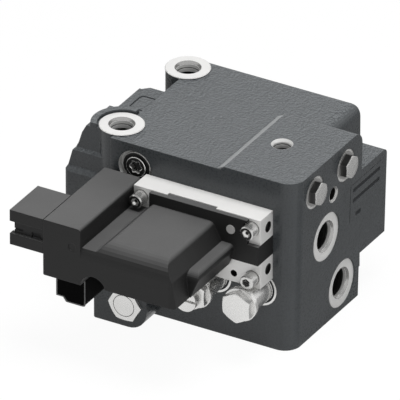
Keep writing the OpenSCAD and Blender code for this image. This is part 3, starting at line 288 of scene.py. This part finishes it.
def make_materials():
    return {
        "cast_body": cast_coat(),
        # Painted highlight on the pad's sloping flank
        "painted_highlight_skin": plastic("painted_highlight_skin", (134, 136, 137), 0.4, grain=600, depth=0.0009, edge=0.0006),
        # Dark colour of painted shade in the sunk label bars and round the cartridge washers
        "recess": plastic("recess", (38, 40, 42), 0.5, grain=600, specular=0.15, edge=0.0001),
        "plated_steel": plain_metal("plated_steel", 222, 0.27, 0.85),
        "steel": plain_metal("steel", 180, 0.3),
        "machined": plain_metal("machined", 218, 0.38, 0.3),
        # A lighter copy of the machined finish for the faces round the top ports: painted light
        "ring": plain_metal("ring", 226, 0.4, 0.25),
        "cone": plain_metal("cone", 170, 0.22, 0.9),
        # Dark colour of painted shade in the bores, drillings, socket floors and grooves, and on the reducing
        # valve's plug
        "bore": plain_metal("bore", 34, 0.42, 0.4),
        "bright_steel": plain_metal("bright_steel", 205, 0.26, 0.85),
        # Painted reflection of the dark casting on the check plugs' flanks
        "painted_flank_reflection": plain_metal("painted_flank_reflection", 84, 0.3, 0.9),
        "base_aluminium": plain_metal("base_aluminium", 230, 0.4, 0.45, top_metal=0.12, scale=500,
                                      stretch=(0.25, 4, 4)),
        "rivet_aluminium": plain_metal("rivet_aluminium", 190, 0.4, 0.3),
        # The cover's and the header's walls take a darker grey than their tops: painted shade
        "cover_plastic": plastic("cover_plastic", 86, 0.48, side=26, specular=0.25),
        # Painted highlight round the lower socket's front
        "painted_rim_highlight": plastic("painted_rim_highlight", 90, 0.4, specular=0.3, edge=0.0002),
        "header_plastic": plastic("header_plastic", 10, 0.5, side=3, specular=0.02),
        "coil_plastic": plastic("coil_plastic", 26, 0.4),
        "board": plastic("board", (30, 92, 52), 0.3),
        "contact_brass": plain_metal("contact_brass", 214, 0.28, tint=(1.0, 0.8, 0.42)),
        "rubber": plastic("rubber", 30, 0.62),
    }


def dress_nodes(materials):
    """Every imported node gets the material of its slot. The upper header is moulded in the cover's plastic."""
    for entry in frame["record"]["subparts"]:
        slot = "cover_plastic" if entry["node"] == "upper_header" else entry["material_slot"]
        for place in frame["nodes"][entry["node"]].material_slots:
            place.material = materials[slot]


# Meshes of turned and milled pieces. Their profiles are (radius, height) in millimetres, from the place
# they sit on. MIDDLE is the radius of a ring that closes a disc, and PROUD lifts a skin off its solid.
SIDEWAYS = {RIGHT: (0, 1, 0), LEFT: (0, 0, 1), FRONT: (1, 0, 0), UP: (1, 0, 0)}
MIDDLE = 0.01
PROUD = 0.04
STEPS = 72
SMOOTH_ANGLE = math.radians(35)


def frame_at(place, axis):
    """Matrix that puts local Z along the axis, with the origin at a place in millimetres."""
    along, side = Vector(axis), Vector(SIDEWAYS[axis])
    turn = Matrix((side, along.cross(side), along)).transposed().to_4x4()
    return Matrix.Translation(Vector(place) * MM) @ turn


def rings_to_mesh(bm, rings, matrix=Matrix.Identity(4), closed=False, caps=False):
    """Joins rings of (x, y, z) points in millimetres, each as long as the next."""
    made = [[bm.verts.new(matrix @ (Vector(p) * MM)) for p in loop] for loop in rings]
    for a, b in zip(made, made[1:] + made[:1] if closed else made[1:]):
        for i in range(len(a)):
            j = (i + 1) % len(a)
            bm.faces.new((a[i], a[j], b[j], b[i]))
    if caps:
        bm.faces.new(list(reversed(made[0])))
        bm.faces.new(made[-1])


def ring(radius_at, height_at, steps=STEPS):
    """Ring of points whose radius depends on the angle, and whose height depends on the radius."""
    points = []
    for i in range(steps):
        angle = 2 * math.pi * i / steps
        radius = radius_at(angle)
        points.append((radius * math.cos(angle), radius * math.sin(angle), height_at(radius)))
    return points


def circle_ring(radius, height, steps=STEPS):
    return ring(lambda angle: radius, lambda r: height, steps)


def turned(bm, profile, matrix, closed=True, caps=False, steps=STEPS):
    """Revolves (radius, height) points about the local axis."""
    rings_to_mesh(bm, [circle_ring(r, h, steps) for r, h in profile], matrix, closed, caps)


def add_piece(name, bm, material, replaces=()):
    bmesh.ops.recalc_face_normals(bm, faces=bm.faces)
    mesh = bpy.data.meshes.new(name)
    bm.to_mesh(mesh)
    bm.free()
    piece = bpy.data.objects.new(name, mesh)
    bpy.context.collection.objects.link(piece)
    mesh.materials.append(material)
    for face in mesh.polygons:
        face.use_smooth = True
    mesh.set_sharp_from_angle(angle=SMOOTH_ANGLE)
    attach(piece, "housing")
    if replaces:
        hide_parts(*replaces)


# Ports. A spot_r of 0 means no spot face, smooth is how deep the threads start, and step is the depth of a
# ledge before them.
Port = namedtuple("Port", "spot_r mouth_r chamfer depth drill_r pitch smooth step", defaults=(0,))
WORK_PORT = Port(spot_r=16.25, mouth_r=10.5, chamfer=1.4, depth=15, drill_r=7, pitch=1.81, smooth=3.4)
LINE_PORT = Port(spot_r=20.5, mouth_r=13.25, chamfer=1.4, depth=17, drill_r=7.5, pitch=1.81, smooth=3.4)
PILOT_PORT = Port(spot_r=14.3, mouth_r=8.5, chamfer=2, depth=12, drill_r=4.5, pitch=1.5, smooth=6.9, step=4.1)
GAUGE_PORT = Port(spot_r=0, mouth_r=6.95, chamfer=2, depth=12, drill_r=3.5, pitch=1.25, smooth=5.8, step=3)
SIDE_HOLE = Port(spot_r=5.5, mouth_r=5.2, chamfer=1, depth=15.9, drill_r=3.6, pitch=1.25, smooth=1.2)
LINING_GAP = 0.09
LINING_THICKNESS = 0.4
STEP_LEDGE = 0.5
THREAD_DEPTH = 0.12
DRILLING_SEEN = 8


def port_mouth(mount, port):
    """Middle of a port's mouth. The right face leans, and only the ports with seals are sunk in it."""
    x, y, z = (v / MM for v in mount["pos_m"])
    if tuple(mount["axis"]) == RIGHT:
        return face_x(z) - (0 if port is SIDE_HOLE else SPOT_DEPTH), y, z
    half = mount["dims"]["length_mm"] / 2 + port.chamfer
    return [v + half * a for v, a in zip((x, y, z), mount["axis"])]


def thread_profile(radius, start, end, pitch):
    """Ridges that stand in from a bore wall, from start down to end."""
    crest = radius - THREAD_DEPTH * pitch
    points = []
    t = start
    while t - pitch > end:
        points += [(radius, t), (radius, t - 0.12 * pitch), (crest, t - 0.45 * pitch),
                   (crest, t - 0.6 * pitch), (radius, t - 0.95 * pitch)]
        t -= pitch
    return points + [(radius, end)]


def lining(bm, path, matrix):
    """Thin machined skin on a bore: the path as seen, and its back deeper in the metal."""
    back = [(r + LINING_THICKNESS, h - LINING_THICKNESS) for r, h in reversed(path)]
    turned(bm, path + back, matrix, steps=96)


def line_port(light, cone, dark, name, port):
    """Spot face and smooth mouth of a port in one mesh, its chamfer and its threads in two others."""
    mount = MOUNTS[name]
    matrix = frame_at(port_mouth(mount, port), tuple(mount["axis"]))
    wall = mount["dims"]["r_mm"] - LINING_GAP
    chamfer = port.chamfer
    if port.spot_r:
        lining(light, [(port.spot_r - LINING_GAP, PROUD), (port.mouth_r, PROUD)], matrix)
    lining(cone, [(port.mouth_r - 0.01, 0.03), (wall + 0.14, 0.12 - chamfer)], matrix)
    path = [(wall + 0.13, 0.11 - chamfer), (wall, -chamfer)]
    smooth_r = wall
    if port.step:
        smooth_r = wall - STEP_LEDGE
        lining(light, path + [(wall, -port.step)], matrix)
        path = [(smooth_r, -port.step - 0.35)]
    lining(light, path + [(smooth_r, -port.smooth - 0.05)], matrix)
    bottom = -port.depth + LINING_GAP
    drill_r = port.drill_r - LINING_GAP
    # Painted shade: the threads and the drilling past the port's depth are lined in a dark colour
    threads = thread_profile(wall, -port.smooth - 0.1, -port.depth + 2, port.pitch)
    drilling = [(wall, bottom), (drill_r, bottom), (drill_r, -port.depth - DRILLING_SEEN)]
    lining(dark, threads + drilling, matrix)


def make_port_linings(materials):
    light, cone, dark, rings = (bmesh.new() for _ in range(4))
    line_port(light, cone, dark, "port_r", WORK_PORT)
    line_port(light, cone, dark, "port_l", WORK_PORT)
    line_port(light, cone, dark, "pump_port", LINE_PORT)
    line_port(light, cone, dark, "tank_port", LINE_PORT)
    line_port(rings, cone, dark, "pilot_port_near", PILOT_PORT)
    line_port(rings, cone, dark, "pilot_port_far", PILOT_PORT)
    line_port(light, light, dark, "gauge_port", GAUGE_PORT)
    line_port(light, cone, dark, "side_hole", SIDE_HOLE)
    add_piece("port_faces", light, materials["machined"])
    add_piece("top_port_faces", rings, materials["ring"])
    add_piece("port_cones", cone, materials["cone"])
    add_piece("port_threads", dark, materials["bore"])


def make_base_holes(materials):
    """Dark bottoms of the drillings in the base's end face and of its small front hole, painted dark as shade.
    """
    bm = bmesh.new()
    wall, floor = 3.6, -2.5
    for z in (base_low[Z] + 9.7, base_high[Z] - 8.9):
        profile = [(MIDDLE, floor), (wall - 0.2, floor), (wall, floor + 0.2), (wall, -0.1),
                   (wall + 0.09, -0.1), (wall + 0.09, floor - 0.1), (MIDDLE, floor - 0.1)]
        turned(bm, profile, frame_at((base_high[X], base_high[Y] - 5.8, z), RIGHT), steps=40)
    wall, floor = 2.25, -5.8
    profile = [(MIDDLE, floor), (wall - 0.05, floor), (wall, -0.1), (wall + 0.04, -0.1),
               (wall + 0.04, floor - 0.1), (MIDDLE, floor - 0.1)]
    turned(bm, profile, frame_at((base_high[X] - 19, base_low[Y], base_low[Z] + 6), FRONT), steps=32)
    add_piece("base_hole_walls", bm, materials["bore"])


CHECK_FLATS = 14


def check_places():
    """Where the two check valve plugs sit in the right face."""
    z = centre("check_plugs")[Z]
    return [frame_at((face_x(z) - SPOT_DEPTH, y, z), RIGHT)
            for y in outer_centres("check_plugs", Y, CHECK_FLATS / math.sqrt(3))]


def make_spot_faces(materials):
    """Machined seats round the check valve plugs and the wall of the reducing valve's counterbore."""
    bm = bmesh.new()
    bore, wall, back = 6.2, 10.6, -0.3
    for matrix in check_places():
        turned(bm, [(bore, PROUD), (wall - 0.1, PROUD), (wall, 0.15), (wall, 0.7), (wall + 0.35, 0.5),
                    (wall + 0.35, back), (bore, back)], matrix)
    bore, wall, floor = 7.2, 11.8, -3.95
    x, _, z = centre("reducer_plug")
    turned(bm, [(bore, floor), (wall - 0.1, floor), (wall, floor + 0.15), (wall, -0.05), (wall + 0.3, -0.2),
                (wall + 0.3, floor - 0.35), (bore, floor - 0.35)], frame_at((x, front_y, z), FRONT))
    add_piece("spot_faces", bm, materials["machined"])


# The raised pad on the deck
PAD_RISE = 2.4
PAD_LENGTH = 52
PAD_Y = (0.4, 75.5)


def make_pad_step(materials):
    """Sloping flank between the deck and the raised pad, coloured brighter than the cast skin as a painted
    highlight.
    """
    bm = bmesh.new()
    edge_x = body_right_x - PAD_LENGTH
    deck_z = body_top_z - PAD_RISE
    section = [(edge_x - 4.8, deck_z + 0.02), (edge_x - 4.6, deck_z + 0.08), (edge_x - 0.4, body_top_z - 0.1),
               (edge_x + 0.1, body_top_z), (edge_x + 0.2, deck_z + 0.02)]
    rings_to_mesh(bm, [[(x, front_y + y, z) for x, z in section] for y in PAD_Y], caps=True)
    add_piece("pad_step", bm, materials["painted_highlight_skin"])


# Sunk bars of the label panel on the right face: two ends in Y, and the lower edge
LABEL_BARS = ((15.6, 49.4, 79.6), (15.6, 49.4, 72.2), (19.6, 25.9, 61.1))
BAR_HEIGHT = 2.8
BAR_FLOOR = -0.37


def make_label_bars(materials):
    """Darker floors of the three sunk bars on the right face: dark sheets of painted shade."""
    bm = bmesh.new()
    for near_y, far_y, low_z in LABEL_BARS:
        places = ((near_y, low_z), (near_y, low_z + BAR_HEIGHT), (far_y, low_z + BAR_HEIGHT), (far_y, low_z))
        seen = [(face_x(z) + BAR_FLOOR, y, z) for y, z in places]
        rings_to_mesh(bm, [seen, [(x - 0.2, y, z) for x, y, z in seen]], caps=True)
    add_piece("label_bars", bm, materials["recess"])


def hexagon(flats, turn, height_at):
    """Ring along a hexagon, with a corner at the angle turn."""
    def radius_at(angle):
        off_corner = (angle - turn + math.pi / 6) % (math.pi / 3) - math.pi / 6
        return flats / 2 / math.cos(math.pi / 6 - abs(off_corner))
    return ring(radius_at, height_at)


CORNER_CUT = 0.475
CORNER_SLOPE = math.tan(math.radians(28))


def hex_head(bm, matrix, flats, bottom, top, turn=0.0, groove=None, under=0.0):
    """Hexagon with its corners cut back at the top, and by a share of that below. A groove in its face is
    (outer radius, inner radius, depth)."""
    cut = flats * CORNER_CUT
    rings = [circle_ring(MIDDLE, bottom), circle_ring(cut, bottom),
             hexagon(flats, turn, lambda r: bottom + max(0.0, r - cut) * CORNER_SLOPE * under),
             hexagon(flats, turn, lambda r: top - max(0.0, r - cut) * CORNER_SLOPE),
             circle_ring(cut, top)]
    if groove:
        outer, inner, depth = groove
        rings += [circle_ring(outer, top), circle_ring(outer - 0.1, top - depth),
                  circle_ring(inner + 0.1, top - depth), circle_ring(inner, top)]
    rings_to_mesh(bm, rings + [circle_ring(MIDDLE, top)], matrix, caps=True)


def make_check_plugs(materials):
    """Hexagon heads with flanks coloured dark as a painted reflection of the casting, and bright faces."""
    bm, faces = bmesh.new(), bmesh.new()
    thread_r, thread_end, seal, top = 5.95, -10, 1, 6
    for matrix in check_places():
        hex_head(bm, matrix, CHECK_FLATS, seal, top - 0.1, math.pi / 2)
        turned(bm, [(thread_r, thread_end), (thread_r, seal + 0.1)], matrix, closed=False, caps=True)
        hex_head(faces, matrix, CHECK_FLATS + PROUD, top - 0.7, top, math.pi / 2)
    add_piece("check_plug_heads", bm, materials["painted_flank_reflection"], replaces=["check_plugs"])
    add_piece("check_plug_faces", faces, materials["plated_steel"])


# Shock cartridges
SHOCK_FLATS = 19
SHOCK_HEAD = 5.5
STEM_GROOVE = (4.3, 4.1, 5.4)


def make_shock_cartridges(materials):
    """Hexagon cartridges low on the front face, each with a turned collar and barrel."""
    shade = bmesh.new()
    barrel, neck, collar, collar_back = 9.5, 9.2, 11.5, -3.5
    profile = [(barrel, -58.4), (barrel, -30.4), (barrel, -24.6), (neck, -24.3), (neck, -23.7),
               (barrel, -23.4), (barrel, collar_back - 0.2), (10.2, collar_back), (collar - 0.2, collar_back),
               (collar, collar_back + 0.2), (collar, -0.3), (collar - 0.2, 0), (9, 0.3)]
    # Painted shade: a dark ring on the front face at each cartridge's collar
    ring_gap = [(9.6, 0.03), (10.9, 0.03), (10.9, -0.3), (9.6, -0.3)]
    for node, groove in (("shock_cartridge_right", None), ("shock_cartridge_left", STEM_GROOVE)):
        bm = bmesh.new()
        x, _, z = centre(node)
        matrix = frame_at((x, corners(node)[0][Y] + SHOCK_HEAD, z), FRONT)
        hex_head(bm, matrix, SHOCK_FLATS, 0.02, SHOCK_HEAD, math.pi / 2, groove, under=0.4)
        turned(bm, profile, matrix, closed=False, caps=True)
        add_piece(node + "_detail", bm, materials["plated_steel"], replaces=[node])
        turned(shade, ring_gap, frame_at((x, front_y, z), FRONT))
    add_piece("washer_shades", shade, materials["recess"])


# Priority valve plug, with a thin round groove in its face
PRIORITY_FLATS = 20.5
PRIORITY_HEAD = 2.6
PRIORITY_GROOVE = (7.6, 7.15, 0.5)


def make_priority_plug(materials):
    bm = bmesh.new()
    x, _, z = centre("priority_plug")
    matrix = frame_at((x, corners("priority_plug")[0][Y] + PRIORITY_HEAD, z), FRONT)
    hex_head(bm, matrix, PRIORITY_FLATS, 0.02, PRIORITY_HEAD, groove=PRIORITY_GROOVE)
    turned(bm, [(8.95, -13), (8.95, 0.1)], matrix, closed=False, caps=True)
    add_piece("priority_plug_detail", bm, materials["plated_steel"],
              replaces=["priority_plug"])
    # Painted shade: the groove in the plug's face is lined in a dark colour
    dark = bmesh.new()
    outer, inner = PRIORITY_GROOVE[0] - 0.01, PRIORITY_GROOVE[1] + 0.01
    turned(dark, [(inner, 2.15), (outer, 2.15), (outer, 2.32), (inner, 2.32)], matrix)
    add_piece("priority_plug_groove", dark, materials["bore"])


# Socket cap screws of the base
SCREW_HEAD_R = 4.7
SCREW_TOP = 9


def knurled_ring(height):
    """Circle of a screw head's size with a fine zigzag."""
    step = 2 * math.pi / STEPS
    return ring(lambda angle: SCREW_HEAD_R - 0.02 * (round(angle / step) % 2), lambda r: height)


def make_base_screws(materials):
    """Finely knurled heads with sockets, whose floors are painted dark as shade. The upper two also have a rim
    of painted shade, and a bright cone in the socket as a painted glint.
    """
    bm, dark, bright = (bmesh.new() for _ in range(3))
    top, head, shank = SCREW_TOP, SCREW_HEAD_R, 2.9
    # Painted shade: dark socket floors, and a dark rim on the upper two; the bright cone is a painted glint
    floor = [(MIDDLE, top - 4.1), (2.3, top - 4.1), (2.3, top - 3.9), (MIDDLE, top - 3.9)]
    painted_shade_rim = [(2.7, top + 0.02), (4.1, top + 0.02), (4.1, top - 0.2), (2.7, top - 0.2)]
    cone = [(2.45, top - 0.3), (1.1, top - 1.3), (1.1, top - 1.6), (2.45, top - 0.6)]
    upper_z = outer_centres("base_screws", Z, head)[1]
    seat_y = corners("base_screws")[0][Y] + top
    for x in outer_centres("base_screws", X, head):
        for z in outer_centres("base_screws", Z, head):
            matrix = frame_at((x, seat_y, z), FRONT)
            socket = [hexagon(5, 0.5, lambda r, h=h: h) for h in (top, top - 4.2)]
            rings = [circle_ring(MIDDLE, -26.6), circle_ring(shank, -26.6), circle_ring(shank, 0),
                     circle_ring(head - 0.2, 0), circle_ring(head, 0.25), circle_ring(head, 2),
                     knurled_ring(2.1), knurled_ring(6.6), circle_ring(head, 6.7),
                     circle_ring(head, top - 0.7), circle_ring(4.1, top), circle_ring(3.1, top)]
            rings_to_mesh(bm, rings + socket + [circle_ring(MIDDLE, top - 4.6)], matrix, caps=True)
            turned(dark, floor, matrix, steps=32)
            if z == upper_z:
                turned(dark, painted_shade_rim, matrix)
                turned(bright, cone, matrix)
    add_piece("base_screws_detail", bm, materials["bright_steel"], replaces=["base_screws"])
    add_piece("base_screws_sockets", dark, materials["bore"])
    add_piece("base_screws_glints", bright, materials["plated_steel"])


# Flanged plug of the reducing valve
REDUCER_RISE = 3.2
LOBE = 0.55


def lobed_ring(radius, height):
    """Ring of a six-lobed socket."""
    return ring(lambda angle: radius + LOBE * math.cos(6 * angle), lambda r: height)


def make_reducer_plug(materials):
    """Flanged plug, coloured nearly black as painted shade, with painted highlights on its edges and round its
    six-lobed socket.
    """
    x, _, z = centre("reducer_plug")
    matrix = frame_at((x, corners("reducer_plug")[0][Y] + REDUCER_RISE, z), FRONT)
    flange = bmesh.new()
    thread, edge, well, face, floor = 6.95, 10, 5, 1.5, -1
    turned(flange, [(MIDDLE, -8), (thread, -8), (thread, 0), (edge - 0.2, 0), (edge, 0.2), (edge, 1.6),
                    (edge - 0.4, 2), (7.9, 2), (7.6, face), (well, face), (well, floor), (MIDDLE, floor)],
           matrix, closed=False, caps=True)
    add_piece("reducer_plug_flange", flange, materials["bore"], replaces=["reducer_plug"])
    rim = bmesh.new()
    top = REDUCER_RISE - 0.02
    rings = [circle_ring(7.1, 1.45), circle_ring(7, 2.8), circle_ring(6.6, top), circle_ring(5.2, top),
             lobed_ring(4.1, 3), lobed_ring(4, -0.6), circle_ring(4.8, -0.7), circle_ring(4.8, 1.45)]
    rings_to_mesh(rim, rings, matrix, closed=True)
    add_piece("reducer_plug_rim", rim, materials["bore"])
    # Painted highlights: bright rings on the flange's edge, the rim's edge and round the socket
    edges = bmesh.new()
    turned(edges, [(10.02, 1.58), (9.6, 2.02), (9.4, 2.02), (9.8, 1.5)], matrix)
    turned(edges, [(7.02, 2.8), (6.62, 3.2), (6.5, 3.2), (6.9, 2.7)], matrix)
    rings_to_mesh(edges, [lobed_ring(4.3, 3.12), lobed_ring(3.8, 2.8), lobed_ring(3.7, -0.5),
                          lobed_ring(3.95, -0.5), lobed_ring(4.2, 2.7)], matrix, closed=True)
    add_piece("reducer_plug_glints", edges, materials["plated_steel"])


# Edge of the lower socket's front, as (right, up) from its lower left corner
RIM_OUTER = ((0.05, 18.9), (0.05, 3.05), (4.7, 3.05), (5.6, 2.6), (6.4, 1), (8, 0.05), (19.2, 0.05),
             (20.6, 0.5), (21.15, 1.8), (21.15, 18.9))
RIM_INNER = ((1, 18), (1, 3.95), (5, 3.95), (6.3, 3.3), (7.2, 1.8), (8.3, 0.95), (19, 0.95), (19.9, 1.3),
             (20.25, 2.2), (20.25, 18))


def make_header_rim(materials):
    """Painted highlight: a lighter rounded edge round the dark front of the lower socket, where its fillets
    catch the light.
    """
    bm = bmesh.new()
    left, front, low = corners("lower_header")[0]
    paths = ((RIM_OUTER, -PROUD), (RIM_INNER, -PROUD), (RIM_INNER, 0.4), (RIM_OUTER, 0.4))
    rings_to_mesh(bm, [[(left + x, front + y, low + z) for x, z in path] for path, y in paths], closed=True)
    add_piece("lower_header_rim", bm, materials["painted_rim_highlight"])


# Lights, backdrop and floor
AIM = (0.01, -0.03, 0.06)
SKY_FILL = 0.2


def make_area(name, place, size, power):
    """Round lamp that aims at the object and isn't mirrored in it."""
    data = bpy.data.lights.new(name, "AREA")
    data.shape = "DISK"
    data.size = size
    data.energy = power
    lamp = bpy.data.objects.new(name, data)
    bpy.context.collection.objects.link(lamp)
    lamp.location = place
    lamp.rotation_euler = (Vector(AIM) - Vector(place)).to_track_quat("-Z", "Y").to_euler()
    lamp.visible_glossy = False


def make_world():
    """White where it is seen or mirrored, dimmer overhead in mirrors, and a low even fill as a light."""
    world = bpy.data.worlds.new("studio")
    bpy.context.scene.world = world
    tree = Tree(world)
    background = tree.nodes["Background"]
    path = tree.outputs("ShaderNodeLightPath")
    seen = tree.math("MAXIMUM", path["Is Camera Ray"], path["Is Glossy Ray"])
    seen = tree.math("MAXIMUM", seen, path["Is Transmission Ray"])
    level = tree.spread(seen, 0, 1, SKY_FILL, 1.0)
    height = tree.part(tree.outputs("ShaderNodeTexCoord")["Generated"], Z)
    overhead = tree.spread(height, 0.6, 0.85, 0.0, -0.8)
    strength = tree.math("MULTIPLY_ADD", overhead, path["Is Glossy Ray"], level)
    tree.put(background.inputs["Strength"], strength)
    tree.put(background.inputs["Color"], (1, 1, 1))


FLOOR_HALF = 3
FLOOR_DROP = 0.0002
FLOOR_GLOW = 1.03
FLOOR_GLOW_SHARE = 0.92
FLOOR_FADE = 0.018
FLOOR_DIMMING = 0.7


def make_floor():
    """Pale floor that blends into the white backdrop and keeps the object's shadow. Mirrors see it dimmer
    from the casting's front face to the rear, as painted shade under the object."""
    mesh = bpy.data.meshes.new("floor")
    h = FLOOR_HALF
    mesh.from_pydata([(-h, -h, 0), (h, -h, 0), (h, h, 0), (-h, h, 0)], [], [(0, 1, 2, 3)])
    floor = bpy.data.objects.new("floor", mesh)
    bpy.context.collection.objects.link(floor)
    floor.location.z = cad_low.z - FLOOR_DROP
    material = bpy.data.materials.new("floor")
    tree = Tree(material)
    shader = tree.nodes["Principled BSDF"]
    tree.put(shader.inputs["Base Color"], (0.7, 0.7, 0.7))
    tree.put(shader.inputs["Roughness"], 0.9)
    tree.put(shader.inputs["Specular IOR Level"], 0.0)
    path = tree.outputs("ShaderNodeLightPath")
    depth = tree.part(tree.outputs("ShaderNodeTexCoord")["Object"], Y)
    # Painted shade: in mirrors the floor darkens behind the casting's front face
    behind = tree.spread(depth, front_y * MM, front_y * MM + FLOOR_FADE, 0.0, FLOOR_DIMMING)
    mirrored_floor_shade = tree.math("MULTIPLY", path["Is Glossy Ray"], behind)
    level = tree.math("MULTIPLY_ADD", mirrored_floor_shade, -FLOOR_GLOW, FLOOR_GLOW)
    seen = tree.math("MAXIMUM", path["Is Camera Ray"], path["Is Glossy Ray"])
    share = tree.math("MULTIPLY", seen, FLOOR_GLOW_SHARE)
    glow = tree.node("ShaderNodeEmission", in_1=level)
    surface = tree.node("ShaderNodeMixShader", in_0=share, in_1=shader.outputs[0], in_2=glow)
    tree.put(tree.nodes["Material Output"].inputs["Surface"], surface)
    mesh.materials.append(material)


make_camera()
materials = make_materials()
dress_nodes(materials)
make_port_linings(materials)
make_base_holes(materials)
make_spot_faces(materials)
make_pad_step(materials)
make_label_bars(materials)
make_check_plugs(materials)
make_shock_cartridges(materials)
make_priority_plug(materials)
make_base_screws(materials)
make_reducer_plug(materials)
make_header_rim(materials)
make_world()
make_floor()
make_area("key", place=(0.15, -0.1, 1.2), size=0.7, power=13.6)
make_area("front_fill", place=(0.3, -1.1, 0.25), size=0.6, power=2.1)
make_area("right_fill", place=(1.1, 0.1, 0.35), size=0.6, power=3.5)

scene = bpy.context.scene
scene.view_settings.view_transform = "Standard"
